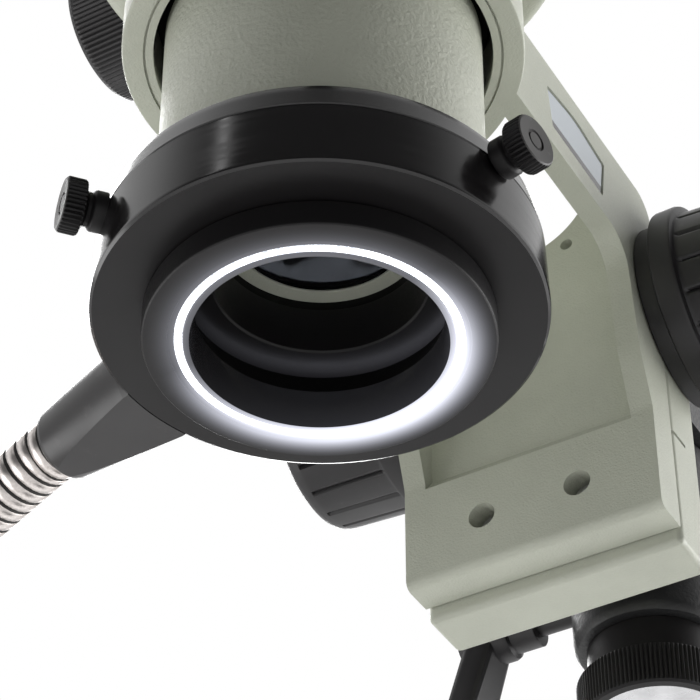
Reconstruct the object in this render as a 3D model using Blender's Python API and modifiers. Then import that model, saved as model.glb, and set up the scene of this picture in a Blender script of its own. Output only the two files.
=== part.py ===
"""Stereo microscope with a fibre-optic ring light, on a boom stand.

Units are metres, +Z is up, and the origin is on the underside of the base plate,
under the boom's centre line and level with the column. The optical head is described
in its own coordinates: the optical axis is x = y = 0, height 0 is the lower face of
the ring light's flange, -Y is the user's side and +X is the user's right.
"""

import math

import bmesh
import bpy
from mathutils import Matrix, Vector
from mathutils.geometry import interpolate_bezier

MM = 0.001

# ---------------------------------------------------------------- driving dimensions
HEAD_Y = -307.5 * MM          # optical axis, in front of the column
HEAD_Z = 400.0 * MM           # ring light's flange above the bench
GAP = 0.3 * MM                # between pieces that touch

FLANGE_R = 46.0               # ring light, mm
BARREL_R = 34.7
HOLDER_R = 43.9
HOLDER_BORE_R = 38.0
ARM_HALF = 32.0               # half the width of the focusing arm
ARM_CHEEK = 5.5               # thickness of the arm's side walls
ARM_FRONT = 92.5              # front face of the arm's plate
ARM_BACK = 102.3
ARM_TOP = 101.5
BLOCK_TOP = 92.0
BLOCK_BACK = 117.2            # rear face of the focusing block
PINION_Y = 111.0
PINION_Z = 71.0
PITCH_R = 4.5                 # pinion's pitch radius
PINION_TEETH = 9
SWIVEL_Y = 157.5              # vertical swivel pin at the boom's end
BOOM_Z = 46.0
BOOM_R = 14.0
SCREW_ANGLES = (-10.5, 109.5, 229.5)   # ring light thumbscrews, degrees
SCREW_Z = 15.4
SLEEVE_AT = (-44.9, 8.35, 8.2)         # where the guide's sleeve meets the ring light
SLEEVE_ANGLE = 166.9
SLEEVE_LENGTH = 29.0
POD_R = 56.5
POD_TOP = 165.0
ZOOM_Y = 17.0                 # zoom knobs' axis
ZOOM_Z = 140.0

TUBE_LEAN = 45.0              # the eyetubes lean this far towards the user, degrees
DRUM_X = 24.0
DRUM_AT = (-4.1, 190.0)       # middle of a drum's foot on the sloping face
TUBE_OFFSET = (8.0, 11.5)     # from a drum's axis to its eyetube's

COLUMN_X = 40.0 * MM
COLUMN_R = 16.0 * MM
COLUMN_TOP = 560.0 * MM
BASE_SIZE = (250.0 * MM, 300.0 * MM, 22.0 * MM)
BASE_Y = -80.0 * MM           # centre of the base plate

# Facets round a turned piece.
FINE = 28
MEDIUM = 20
COARSE = 12
TINY = 10

GUIDE_R = 7.0 * MM            # metal-clad light guide
COIL_CENTRE = (-235.0 * MM, -330.0 * MM)
COIL_R = 76.0 * MM            # middle of the turns
COIL_LEVELS = 2

GUIDE_DROOP = 11.0            # degrees below level, just outside the sleeve
GUIDE_EASE = (170.0 * MM, 150.0 * MM)   # how far the fall keeps its end directions
GUIDE_BEND_R = 60.0 * MM      # where the guide turns level onto its coil
GUIDE_STRAIGHT = 10.0 * MM    # level run that ends over the coil
# The guide's lower end, from the coil's left side out to the connector.
GUIDE_TAIL = [
    (-0.3110, -0.3300, 0.0074),
    (-0.3110, -0.3550, 0.0074),
    (-0.3110, -0.3900, 0.0092),
    (-0.3110, -0.4000, 0.0092),
]
CONNECTOR_AT = (-0.3110, -0.4003, 0.0092)

COLOURS = {
    "grey_paint": ((0.42, 0.44, 0.38), 0.55, 0.0),
    "black_anodised": ((0.012, 0.011, 0.012), 0.30, 0.6),
    "black_paint": ((0.015, 0.015, 0.016), 0.45, 0.0),
    "black_plastic": ((0.014, 0.013, 0.014), 0.40, 0.0),
    "rubber": ((0.02, 0.02, 0.02), 0.85, 0.0),
    "chrome": ((0.75, 0.75, 0.76), 0.12, 1.0),
    "steel": ((0.55, 0.55, 0.56), 0.30, 1.0),
    "brass": ((0.72, 0.52, 0.22), 0.30, 1.0),
    "glass": ((0.75, 0.82, 0.85), 0.03, 0.0),
    "fibre_glow": ((1.0, 1.0, 1.0), 0.40, 0.0),
    "conduit": ((0.62, 0.60, 0.57), 0.32, 1.0),
}


# ---------------------------------------------------------------- scene and helpers
def clear_scene():
    for obj in list(bpy.data.objects):
        bpy.data.objects.remove(obj, do_unlink=True)
    for collection in list(bpy.data.collections):
        bpy.data.collections.remove(collection)


def make_collection(name, hidden=False):
    collection = bpy.data.collections.new(name)
    collection.hide_render = hidden
    bpy.context.scene.collection.children.link(collection)
    return collection


def make_material(name):
    colour, roughness, metallic = COLOURS[name]
    material = bpy.data.materials.new(name)
    material.use_nodes = True
    shader = material.node_tree.nodes["Principled BSDF"]
    shader.inputs["Base Color"].default_value = (*colour, 1.0)
    shader.inputs["Roughness"].default_value = roughness
    shader.inputs["Metallic"].default_value = metallic
    if name == "fibre_glow":
        shader.inputs["Emission Color"].default_value = (*colour, 1.0)
        shader.inputs["Emission Strength"].default_value = 4.0
    return material


clear_scene()
PARTS = make_collection("stereo_microscope")
CUTTERS = make_collection("cutters", hidden=True)
MATERIALS = {name: make_material(name) for name in COLOURS}


def head(x, y, z):
    """A point given in the optical head's millimetres, in the world's metres."""
    return Vector((x * MM, HEAD_Y + y * MM, HEAD_Z + z * MM))


def radial(angle):
    """The turn that carries +Z to the horizontal direction at this angle."""
    return Matrix.Rotation(math.radians(angle), 4, "Z") @ Matrix.Rotation(math.pi / 2, 4, "Y")


ALONG_X = Matrix.Rotation(math.pi / 2, 4, "Y")
ALONG_MINUS_X = Matrix.Rotation(-math.pi / 2, 4, "Y")
ALONG_Y = Matrix.Rotation(-math.pi / 2, 4, "X")
ALONG_MINUS_Y = Matrix.Rotation(math.pi / 2, 4, "X")
# Carries an outline's plane to the YZ plane and its thickness to X.
SIDE_ON = Matrix(((0, 0, 1, 0), (1, 0, 0, 0), (0, 1, 0, 0), (0, 0, 0, 1)))


def add_object(name, mesh, place, material=None):
    """Links a mesh as a part, or as a cutter where there is no material."""
    obj = bpy.data.objects.new(name, mesh)
    obj.matrix_world = place
    if material:
        mesh.materials.append(MATERIALS[material])
        mesh.shade_smooth()
        mesh.set_sharp_from_angle(angle=math.radians(35))
        PARTS.objects.link(obj)
    else:
        obj.hide_render = True
        obj.display_type = "WIRE"
        CUTTERS.objects.link(obj)
    return obj


def at(point, turn=None):
    place = Matrix.Translation(Vector(point))
    return place @ turn if turn else place


def turned(name, profile, place, material=None, segments=MEDIUM, closed=False):
    """A turned piece. The profile is (radius, height) in mm, down the outer side.

    A closed profile is a ring's section; an open one starts and ends on the axis.
    """
    mesh = bpy.data.meshes.new(name)
    points = [(radius * MM, 0.0, height * MM) for radius, height in profile]
    edges = [(i, i + 1) for i in range(len(points) - 1)]
    if closed:
        edges.append((len(points) - 1, 0))
    mesh.from_pydata(points, edges, [])
    obj = add_object(name, mesh, place, material)
    screw = obj.modifiers.new("Screw", "SCREW")
    screw.axis = "Z"
    screw.steps = segments
    screw.render_steps = segments
    screw.use_merge_vertices = True
    screw.merge_threshold = 0.00002
    screw.use_smooth_shade = True
    return obj


def rod(name, radius, low, high, place, material=None, segments=COARSE):
    """A plain round bar from low to high along its axis, in mm.

    A cutter is turned by half a facet, so that no edge falls on one of the piece it cuts.
    """
    profile = [(0, high), (radius, high), (radius, low), (0, low)]
    if not material:
        place = place @ Matrix.Rotation(math.pi / segments, 4, "Z")
    return turned(name, profile, place, material, segments)


def box(name, low, high, place=None, material=None, bevel=0.0, steps=2):
    """A box between two corners, in mm, with its edges rounded by a Bevel."""
    mesh = bpy.data.meshes.new(name)
    centre = (Vector(low) + Vector(high)) * 0.5 * MM
    size = (Vector(high) - Vector(low)) * MM
    shape = bmesh.new()
    bmesh.ops.create_cube(shape, size=1.0)
    bmesh.ops.scale(shape, vec=size, verts=shape.verts)
    bmesh.ops.translate(shape, vec=centre, verts=shape.verts)
    shape.to_mesh(mesh)
    shape.free()
    obj = add_object(name, mesh, place or at(head(0, 0, 0)), material)
    if bevel:
        round_edges(obj, bevel, steps)
    return obj


def round_edges(obj, width, steps=2, angle=40):
    bevel = obj.modifiers.new("Bevel", "BEVEL")
    bevel.width = width * MM
    bevel.segments = steps
    bevel.limit_method = "ANGLE"
    bevel.angle_limit = math.radians(angle)


def cut(obj, cutter, operation="DIFFERENCE"):
    boolean = obj.modifiers.new(cutter.name, "BOOLEAN")
    boolean.operation = operation
    boolean.solver = "EXACT"
    boolean.object = cutter
    return obj


def rounded_outline(corners, steps=4):
    """The points of an outline whose corners (x, y, radius) are rounded by arcs."""
    points = []
    count = len(corners)
    for i, (x, y, radius) in enumerate(corners):
        here = Vector((x, y))
        if radius == 0:
            points.append(here)
            continue
        back = (Vector(corners[i - 1][:2]) - here).normalized()
        ahead = (Vector(corners[(i + 1) % count][:2]) - here).normalized()
        half = back.angle(ahead) / 2
        reach = radius / math.tan(half)
        centre = here + (back + ahead).normalized() * radius / math.sin(half)
        start = here + back * reach - centre
        end = here + ahead * reach - centre
        turn = start.angle_signed(end)
        for k in range(steps + 1):
            swing = Matrix.Rotation(-turn * k / steps, 2)
            points.append(centre + swing @ start)
    return points


def extruded(name, outline, low, high, place, material=None):
    """A flat outline, in mm, made solid between two heights along its normal."""
    curve = bpy.data.curves.new(name, "CURVE")
    curve.dimensions = "2D"
    curve.fill_mode = "BOTH"
    curve.extrude = (high - low) / 2 * MM
    spline = curve.splines.new("POLY")
    spline.points.add(len(outline) - 1)
    for point, (x, y) in zip(spline.points, outline):
        point.co = (x * MM, y * MM, 0.0, 1.0)
    spline.use_cyclic_u = True
    guide = bpy.data.objects.new(name + "_outline", curve)
    bpy.context.scene.collection.objects.link(guide)
    guide.matrix_world = place @ Matrix.Translation((0, 0, (low + high) / 2 * MM))
    return curve_to_part(name, guide, material)


def curve_to_part(name, guide, material=None):
    """Makes a curve's solid a mesh object with welded caps, and removes the curve."""
    graph = bpy.context.evaluated_depsgraph_get()
    graph.update()
    mesh = bpy.data.meshes.new_from_object(guide.evaluated_get(graph))
    place = guide.matrix_world.copy()
    curve = guide.data
    bpy.data.objects.remove(guide, do_unlink=True)
    bpy.data.curves.remove(curve)
    shape = bmesh.new()
    shape.from_mesh(mesh)
    bmesh.ops.remove_doubles(shape, verts=shape.verts, dist=0.00002)
    bmesh.ops.recalc_face_normals(shape, faces=shape.faces)
    shape.to_mesh(mesh)
    shape.free()
    mesh.materials.clear()
    mesh.name = name
    return add_object(name, mesh, place, material)


def resampled(points, spacing):
    """Points a given distance apart along a finely drawn path."""
    lengths = [0.0]
    for a, b in zip(points, points[1:]):
        lengths.append(lengths[-1] + (b - a).length)
    count = max(2, round(lengths[-1] / spacing))
    route = []
    k = 0
    for i in range(count + 1):
        wanted = lengths[-1] * i / count
        while k < len(points) - 2 and lengths[k + 1] < wanted:
            k += 1
        share = (wanted - lengths[k]) / (lengths[k + 1] - lengths[k])
        route.append(points[k].lerp(points[k + 1], min(1.0, share)))
    return route


def tube(name, points, radius, material, resolution=3):
    """A cord's plain tube through the points, with filled caps."""
    curve = bpy.data.curves.new(name, "CURVE")
    curve.dimensions = "3D"
    curve.bevel_depth = radius
    curve.bevel_resolution = resolution
    curve.use_fill_caps = True
    spline = curve.splines.new("POLY")
    spline.points.add(len(points) - 1)
    for point, co in zip(spline.points, points):
        point.co = (*co, 1.0)
    guide = bpy.data.objects.new(name + "_route", curve)
    bpy.context.scene.collection.objects.link(guide)
    return curve_to_part(name, guide, material)


def joint_empty(name, point, parent=None):
    empty = bpy.data.objects.new(name, None)
    empty.empty_display_size = 0.01
    PARTS.objects.link(empty)
    if parent:
        empty.parent = parent
        empty.matrix_parent_inverse = Matrix.Translation(-WORLD_OF[parent.name])
    empty.matrix_basis = Matrix.Translation(point)
    WORLD_OF[name] = Vector(point)
    return empty


def attach(empty, *objects):
    """Parents pieces to a joint's empty and leaves them where they are."""
    for obj in objects:
        place = obj.matrix_world.copy()
        obj.parent = empty
        obj.matrix_parent_inverse = Matrix.Translation(-WORLD_OF[empty.name])
        obj.matrix_basis = place


WORLD_OF = {}
OPTICAL = at(head(0, 0, 0))


# ---------------------------------------------------------------- stand
def base_outline(inset):
    half_width = BASE_SIZE[0] / 2 / MM - inset
    half_depth = BASE_SIZE[1] / 2 / MM - inset
    corner = 32 - inset
    signs = ((-1, -1), (1, -1), (1, 1), (-1, 1))
    return rounded_outline([(x * half_width, y * half_depth, corner) for x, y in signs], 5)


def make_base():
    place = at((0, BASE_Y, 0))
    base = extruded("base_plate", base_outline(0), 1.8, BASE_SIZE[2] / MM, place, "black_paint")
    round_edges(base, 3.0, 2, 60)
    mat = extruded("base_mat", base_outline(4), 0, 1.5, place, "rubber")
    return base, mat


def make_column():
    height = BASE_SIZE[2] / MM
    foot = at((COLUMN_X, 0, 0))
    top = COLUMN_TOP / MM
    column_profile = [(16.0, top), (16.0, height + 0.3), (13.0, height + 0.3), (13.0, top)]
    column = turned("column", column_profile, foot, "chrome", MEDIUM, closed=True)
    flange_profile = [
        (21.5, height + 42), (23.5, height + 40), (24.5, height + 16), (30, height + 12.5),
        (41, height + 11), (43, height + 9), (43, height + 0.3), (16.3, height + 0.3),
        (16.3, height + 42),
    ]
    flange = turned("column_flange", flange_profile, foot, "black_paint", MEDIUM, closed=True)
    cap_profile = [
        (0, top + 4), (12, top + 4), (15.4, top + 2.6), (15.9, top + 0.3), (12.6, top + 0.3),
        (12.4, top - 12), (0, top - 12),
    ]
    cap = turned("column_cap", cap_profile, foot, "black_plastic", MEDIUM)
    return column, flange, cap


def clamp_knob(name, place):
    """A clamp knob with its stud: the stud's tip is at 0 and the knob stands outwards."""
    profile = [
        (0, 47), (9, 47), (14, 45), (15.5, 42), (15.5, 30), (13, 28), (9, 27.5),
        (8, 18.5), (3.9, 18.5), (3.9, 0), (0, 0),
    ]
    return turned(name, profile, place, "black_plastic", COARSE)


def make_collar():
    """The collar that carries the boom's clamp, and its screw."""
    low = HEAD_Z / MM + BOOM_Z - 26.3 - 19
    foot = at((COLUMN_X, 0, 0))
    ring = [(28, low + 19), (29, low + 18), (29, low + 1), (28, low), (16.3, low), (16.3, low + 19)]
    collar = turned("safety_collar", ring, foot, "black_paint", MEDIUM, closed=True)
    line = at((COLUMN_X, 0, (low + 9.5) * MM), radial(-90))
    cut(collar, rod("collar_thread", 3.3, 10, 40, line, segments=TINY))
    screw_profile = [
        (0, 50), (8, 50), (9.5, 48.5), (9.5, 40), (8.5, 38.5), (5, 38), (5, 29.6),
        (3, 29.6), (3, 16.3), (0, 16.3),
    ]
    screw = turned("collar_screw", screw_profile, line, "black_anodised", COARSE)
    return collar, screw


def make_cross_clamp():
    centre = Vector((0, 0, HEAD_Z + BOOM_Z * MM))
    beside = centre + Vector((COLUMN_X, 0, 0))
    far_side = COLUMN_X / MM + 26
    clamp = box("cross_clamp", (-25, -30, -26), (far_side, 30, 26), at(centre), "black_paint", 7)
    cut(clamp, rod("clamp_column_bore", 16.3, -30, 30, at(beside), segments=MEDIUM))
    cut(clamp, rod("clamp_boom_bore", 14.3, -40, 40, at(centre, ALONG_Y), segments=MEDIUM))
    line = at(beside + Vector((16.4 * MM, 0, 0)), ALONG_X)
    cut(clamp, rod("column_knob_thread", 4.2, -2, 20, line, segments=COARSE))
    column_knob = clamp_knob("column_clamp_knob", line)
    line = at(centre - Vector((14.4 * MM, 0, 0)), ALONG_MINUS_X)
    cut(clamp, rod("boom_knob_thread", 4.2, -2, 20, line, segments=COARSE))
    boom_knob = clamp_knob("boom_clamp_knob", line)
    return clamp, column_knob, boom_knob


# ---------------------------------------------------------------- boom
def make_boom():
    start = SWIVEL_Y + 19.0
    end = start + 281.0
    line = at(head(0, 0, BOOM_Z), ALONG_Y)
    bar_profile = [(BOOM_R, end), (BOOM_R, start), (11.0, start), (11.0, end)]
    bar = turned("boom_bar", bar_profile, line, "chrome", MEDIUM, closed=True)
    cap_profile = [
        (0, end + 5), (10, end + 5), (13.5, end + 3.6), (14, end + 0.3), (10.7, end + 0.3),
        (10.5, end - 12), (0, end - 12),
    ]
    cap = turned("boom_rear_cap", cap_profile, line, "black_plastic", MEDIUM)

    pivot = at(head(0, SWIVEL_Y, 0))
    post = [(0, 68), (17.8, 68), (18.8, 67), (18.8, 16), (17.6, 13.9), (16.4, 13.5), (0, 13.5)]
    casting = turned("boom_end_casting", post, pivot, "black_paint", MEDIUM)
    line = at(head(0, SWIVEL_Y, BOOM_Z), ALONG_Y)
    socket = [(0, 66), (17.5, 66), (19.2, 64.3), (19.2, 0), (0, 0)]
    cut(casting, turned("casting_socket", socket, line, None, MEDIUM), "UNION")
    cut(casting, rod("casting_bar_bore", BOOM_R + 0.3, 18.5, 80, line, segments=MEDIUM))
    cut(casting, rod("casting_pin_bore", 12.3, 0, 80, pivot, segments=MEDIUM))
    line = at(head(0, SWIVEL_Y, 31), ALONG_MINUS_X)
    cut(casting, rod("casting_stud_hole", 2.9, 8, 30, line, segments=TINY))
    return bar, cap, casting


def make_lever():
    """The swivel's clamp lever: a stud, a hub and a hanging grip that leans outwards."""
    line = at(head(0, SWIVEL_Y, 31), ALONG_MINUS_X)
    profile = [
        (0, 51), (4.5, 51), (5.5, 49.5), (6.4, 44), (6.4, 38), (5.0, 36.5), (5.0, 29.5),
        (2.6, 29.5), (2.6, 12.4), (0, 12.4),
    ]
    lever = turned("swivel_lever", profile, line, "black_plastic", COARSE)
    outline = rounded_outline([(-5.5, 2, 0), (5.5, 2, 0), (7.2, -58, 6), (-7.2, -58, 6)], 4)
    lean = Matrix.Rotation(math.radians(18), 4, "Y")
    place = at(head(-43.5, SWIVEL_Y, 31)) @ lean @ SIDE_ON
    return cut(lever, extruded("lever_grip", outline, -4.2, 4.2, place), "UNION")


# ---------------------------------------------------------------- swivelling carrier
def make_carrier():
    plate = box("swivel_bracket", (-26, 117.5, 20), (26, 124, BLOCK_TOP), None, "black_paint",
                1.5, 2)
    lug_outline = rounded_outline(
        [(-21, 122, 0), (21, 122, 0), (21, 178.5, 20.9), (-21, 178.5, 20.9)], 6
    )
    cut(plate, extruded("bracket_lug", lug_outline, 68.3, 82, OPTICAL), "UNION")
    web = [(122, 35), (134, 70), (122, 70)]
    for side in (-1, 1):
        low = side * 20 - 2.5
        cut(plate, extruded(f"bracket_web_{side}", web, low, low + 5, OPTICAL @ SIDE_ON), "UNION")
    pivot = at(head(0, SWIVEL_Y, 0))
    cut(plate, rod("bracket_pin_hole", 8.3, 60, 90, pivot, segments=MEDIUM))

    pin_profile = [
        (0, 88), (9, 88), (11, 86.5), (11, 82.3), (8.0, 82.3), (8.0, 68.2), (12.0, 68.0),
        (12.0, 14), (6.0, 13.8), (6.0, -2), (0, -2),
    ]
    pin = turned("swivel_pin", pin_profile, pivot, "steel", MEDIUM)
    knob_profile = [
        (0, -2.7), (6.3, -2.7), (6.3, 13.2), (15.8, 13.2), (15.8, 4.6), (18.2, 4.0),
        (18.9, 3.2), (18.9, -5.6), (18.0, -6.8), (0, -6.8),
    ]
    knob = turned("retaining_knob", knob_profile, pivot, "black_anodised", MEDIUM)

    screws = []
    profile = [
        (0, 127.8), (1.4, 127.8), (1.8, 128.6), (3.6, 128.6), (3.6, 124.3), (2.0, 124.3),
        (2.0, 111), (0, 111),
    ]
    for i, x in enumerate((-11, 11), 1):
        line = at(head(x, 0, 44), ALONG_Y)
        cut(plate, rod(f"bracket_hole_{i}", 2.3, 110, 130, line, segments=TINY))
        screws.append(turned(f"bracket_screw_{i}", profile, line, "steel", TINY))
    return plate, pin, knob, *screws


def make_focus_block():
    block = box("focus_block", (-ARM_HALF, 102.6, 0), (ARM_HALF, BLOCK_BACK, BLOCK_TOP), None,
                "grey_paint", 1.6, 2)
    cut(block, box("block_relief", (-40, 100, 31.6), (40, 103.2, 100)))
    cut(block, box("block_slit", (-40, 100, 31.2), (40, 110, 31.9)))
    groove = [(-15.4, 101), (15.4, 101), (15.4, 102.6), (18.1, 107.2), (-18.1, 107.2),
              (-15.4, 102.6)]
    cut(block, extruded("dovetail_groove", groove, 5, 110, OPTICAL))
    cut(block, box("rack_slot", (-4.6, 106, 6), (4.6, 107.7, 100)))
    axis = at(head(0, PINION_Y, PINION_Z), ALONG_X)
    cut(block, rod("pinion_pocket", PITCH_R + 1.1, -5.2, 5.2, axis, segments=COARSE))
    cut(block, rod("pinion_bore", 4.0, -40, 40, axis, segments=COARSE))
    rings = []
    profile = [(22.2, 36.5), (22.8, 35.9), (22.8, 32.3), (4.0, 32.3), (4.0, 36.5)]
    for word, turn in (("right", ALONG_X), ("left", ALONG_MINUS_X)):
        place = at(head(0, PINION_Y, PINION_Z), turn)
        rings.append(turned(f"tension_ring_{word}", profile, place, "black_plastic", MEDIUM,
                            closed=True))
    for i, x in enumerate((-11, 11), 1):
        cut(block, rod(f"block_thread_{i}", 2.3, 110.5, 120, at(head(x, 0, 44), ALONG_Y),
                       segments=TINY))
    return block, *rings


# ---------------------------------------------------------------- focusing arm
def make_arm():
    side = rounded_outline([
        (22, ARM_TOP, 0), (22, 75.6, 0), (84.6, 75.6, 9), (88.2, 45, 30), (ARM_FRONT, 31.5, 6),
        (ARM_FRONT, 3.5, 2.2), (ARM_BACK, 3.5, 0.6), (ARM_BACK, ARM_TOP, 7.5),
    ], 3)
    arm = extruded("focus_arm", side, -ARM_HALF, ARM_HALF, OPTICAL @ SIDE_ON, "grey_paint")
    inner = ARM_HALF - ARM_CHEEK
    window = [(10, 30), (96, 30), (96, 112), (10, 112)]
    cut(arm, extruded("arm_window", window, -inner, inner, OPTICAL @ SIDE_ON))
    cut(arm, rod("web_notch", 20, 93, 106, at(head(0, 0, 114), ALONG_Y), segments=FINE))
    ring = [
        (0, ARM_TOP), (HOLDER_R - 0.8, ARM_TOP), (HOLDER_R, ARM_TOP - 0.8), (HOLDER_R, 76.3),
        (HOLDER_R - 0.8, 75.5), (0, 75.5),
    ]
    cut(arm, turned("holder_ring", ring, OPTICAL, None, FINE), "UNION")
    cut(arm, rod("holder_bore", HOLDER_BORE_R, 60, 110, OPTICAL, segments=FINE))
    cut(arm, box("badge_pocket", (31.0, 46.5, 81.8), (34, 76, 95.2)))
    badge = box("arm_badge", (31.3, 46.9, 82.2), (32.2, 75.6, 94.8), None, "black_plastic")
    screws = []
    profile = [(0, 102.0), (3.0, 102.0), (3.0, 97.5), (1.5, 97.5), (1.5, 99.0), (0, 99.0)]
    for i, x in enumerate((-12.1, 12.1), 1):
        line = at(head(x, 0, 17.1), ALONG_Y)
        cut(arm, rod(f"arm_hole_{i}", 3.35, 88, 104, line, segments=COARSE))
        cut(arm, rod(f"web_hole_{i}", 1.6, 94, 104, at(head(x, 0, 93), ALONG_Y), segments=TINY))
        screws.append(turned(f"arm_screw_{i}", profile, line, "steel", TINY))
    line = at(head(0, 0, 92.5), radial(-60))
    cut(arm, rod("lock_thread", 3.3, 30, 50, line, segments=TINY))
    lock_profile = [
        (0, 62), (7, 62), (8.2, 60.8), (8.2, 54), (7.4, 53), (4.4, 52.6), (4.4, 44.6),
        (3.0, 44.6), (3.0, 37.8), (0, 37.8),
    ]
    lock = turned("pod_lock_screw", lock_profile, line, "black_anodised", COARSE)
    return arm, badge, *screws, lock


def rack_outline():
    """The rack's side in the head's YZ plane: a bar with teeth on its rear side."""
    pitch = math.pi * 2 * PITCH_R / PINION_TEETH
    pitch_line = PINION_Y - PITCH_R
    root, tip = pitch_line - 1.1, pitch_line + 0.8
    first = round((35 - PINION_Z) / pitch)
    last = round((91 - PINION_Z) / pitch)
    teeth = []
    for k in range(first, last):
        middle = PINION_Z + (k + 0.5) * pitch
        teeth += [(root, middle - 0.86), (tip, middle - 0.3), (tip, middle + 0.3),
                  (root, middle + 0.86)]
    low, high = teeth[0][1] - 0.5, teeth[-1][1] + 0.5
    return [(104.2, high), (104.2, low), (root, low), *teeth, (root, high)]


def pinion_outline():
    """The pinion's teeth as one outline, with a gap between two teeth at the rack."""
    points = []
    for k in range(PINION_TEETH):
        middle = math.pi + 2 * math.pi * k / PINION_TEETH
        for radius, turn in ((3.4, -0.85), (5.3, -0.28), (5.3, 0.28), (3.4, 0.85)):
            angle = middle + turn / radius
            points.append((radius * math.cos(angle), radius * math.sin(angle)))
    return points


def make_slide():
    section = [
        (-15, 102.6), (15, 102.6), (17.5, 106.9), (4.6, 106.9), (4.6, 103.9), (-4.6, 103.9),
        (-4.6, 106.9), (-17.5, 106.9),
    ]
    slide = extruded("dovetail_slide", section, 32, BLOCK_TOP, OPTICAL, "steel")
    rack = extruded("focus_rack", rack_outline(), -4.0, 4.0, OPTICAL @ SIDE_ON, "brass")
    return slide, rack


def make_pinion():
    axis = at(head(0, PINION_Y, PINION_Z), ALONG_X)
    profile = [(0, 48), (3.6, 48), (3.6, 5.5), (3.1, 5.2), (3.1, -5.2), (3.6, -5.5), (3.6, -48),
               (0, -48)]
    shaft = turned("pinion_shaft", profile, axis, "steel", COARSE)
    teeth = extruded("pinion_teeth", pinion_outline(), -4.4, 4.4,
                     at(head(0, PINION_Y, PINION_Z)) @ SIDE_ON)
    cut(shaft, teeth, "UNION")
    profile = [
        (0, 67.2), (15, 67.2), (17, 68.2), (20.0, 67.6), (21.8, 65.6), (22.3, 62.5), (23.6, 43.0),
        (24.9, 42.5), (25.4, 41.9), (25.4, 37.4), (24.9, 36.8), (3.9, 36.8), (3.9, 48.4),
        (0, 48.4),
    ]
    knobs = []
    for word, turn in (("right", ALONG_X), ("left", ALONG_MINUS_X)):
        place = at(head(0, PINION_Y, PINION_Z), turn)
        knobs.append(turned(f"focus_knob_{word}", profile, place, "black_plastic", MEDIUM))
    return shaft, *knobs


# ---------------------------------------------------------------- optical head
def make_pod():
    barrel_profile = [
        (30.6, 108), (30.6, 101.5), (37.4, 101.5), (37.4, 90.5), (36.8, 90), (BARREL_R, 90),
        (34.3, 22.4), (34.3, 11.0), (21.9, 11.0), (21.6, 22.4), (24.0, 22.4), (24.0, 36),
        (28.0, 42), (28.0, 108),
    ]
    barrel = turned("pod_barrel", barrel_profile, OPTICAL, "grey_paint", FINE, closed=True)
    ring_profile = [
        (23.7, 27.0), (23.7, 22.7), (21.7, 22.7), (21.4, 24.3), (18.6, 24.3), (18.6, 27.0),
    ]
    ring = turned("lens_retaining_ring", ring_profile, OPTICAL, "grey_paint", FINE, closed=True)
    lens_profile = [
        (0, 34.6), (12, 33.6), (23.7, 30.0), (23.7, 27.3), (18.0, 27.3), (10, 26.0), (0, 25.4),
    ]
    lens = turned("objective_lens", lens_profile, OPTICAL, "glass", FINE)

    shell = [
        (POD_R, POD_TOP), (POD_R, 121.8), (55.6, 119.4), (53.0, 118.4), (44.6, 117.6),
        (43.2, 116), (43.2, 101.8), (31.0, 101.8), (31.0, 106), (39.5, 106), (39.5, 120.5),
        (53.0, 122.5), (53.0, POD_TOP),
    ]
    housing = turned("pod_housing", shell, OPTICAL, "grey_paint", FINE, closed=True)
    axis = at(head(0, ZOOM_Y, ZOOM_Z), ALONG_X)
    cut(housing, rod("zoom_shaft_hole", 3.4, -60, 60, axis, segments=COARSE))

    foot = POD_TOP + 0.3
    wedge = rounded_outline([
        (-60, foot, 0), (60, foot, 0), (60, 214, 0), (19.9, 214, 8), (-25.8, foot + 3, 0),
        (-60, foot + 3, 0),
    ], 4)
    cover = extruded("pod_cover", wedge, -60, 60, OPTICAL @ SIDE_ON, "grey_paint")
    cut(cover, rod("cover_round", POD_R, 160, 230, OPTICAL, segments=FINE), "INTERSECT")
    hollow = extruded("cover_room", [(-28.4, 160), (54, 160), (54, 209), (20.6, 209)], -54, 54,
                      OPTICAL @ SIDE_ON)
    cut(hollow, rod("cover_room_round", POD_R - 4, 150, 230, OPTICAL, segments=FINE), "INTERSECT")
    cut(cover, hollow)
    for side in (-1, 1):
        cut(cover, rod(f"cover_light_hole_{side}", 10.5, -20, 20, drum_place(side), segments=COARSE))
    return barrel, ring, lens, housing, cover


def drum_place(side):
    """The frame of one prism drum: +Z is its axis and +Y runs up the sloping face."""
    lean = Matrix.Rotation(math.radians(TUBE_LEAN), 4, "X")
    return at(head(side * DRUM_X, *DRUM_AT), lean)


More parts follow.
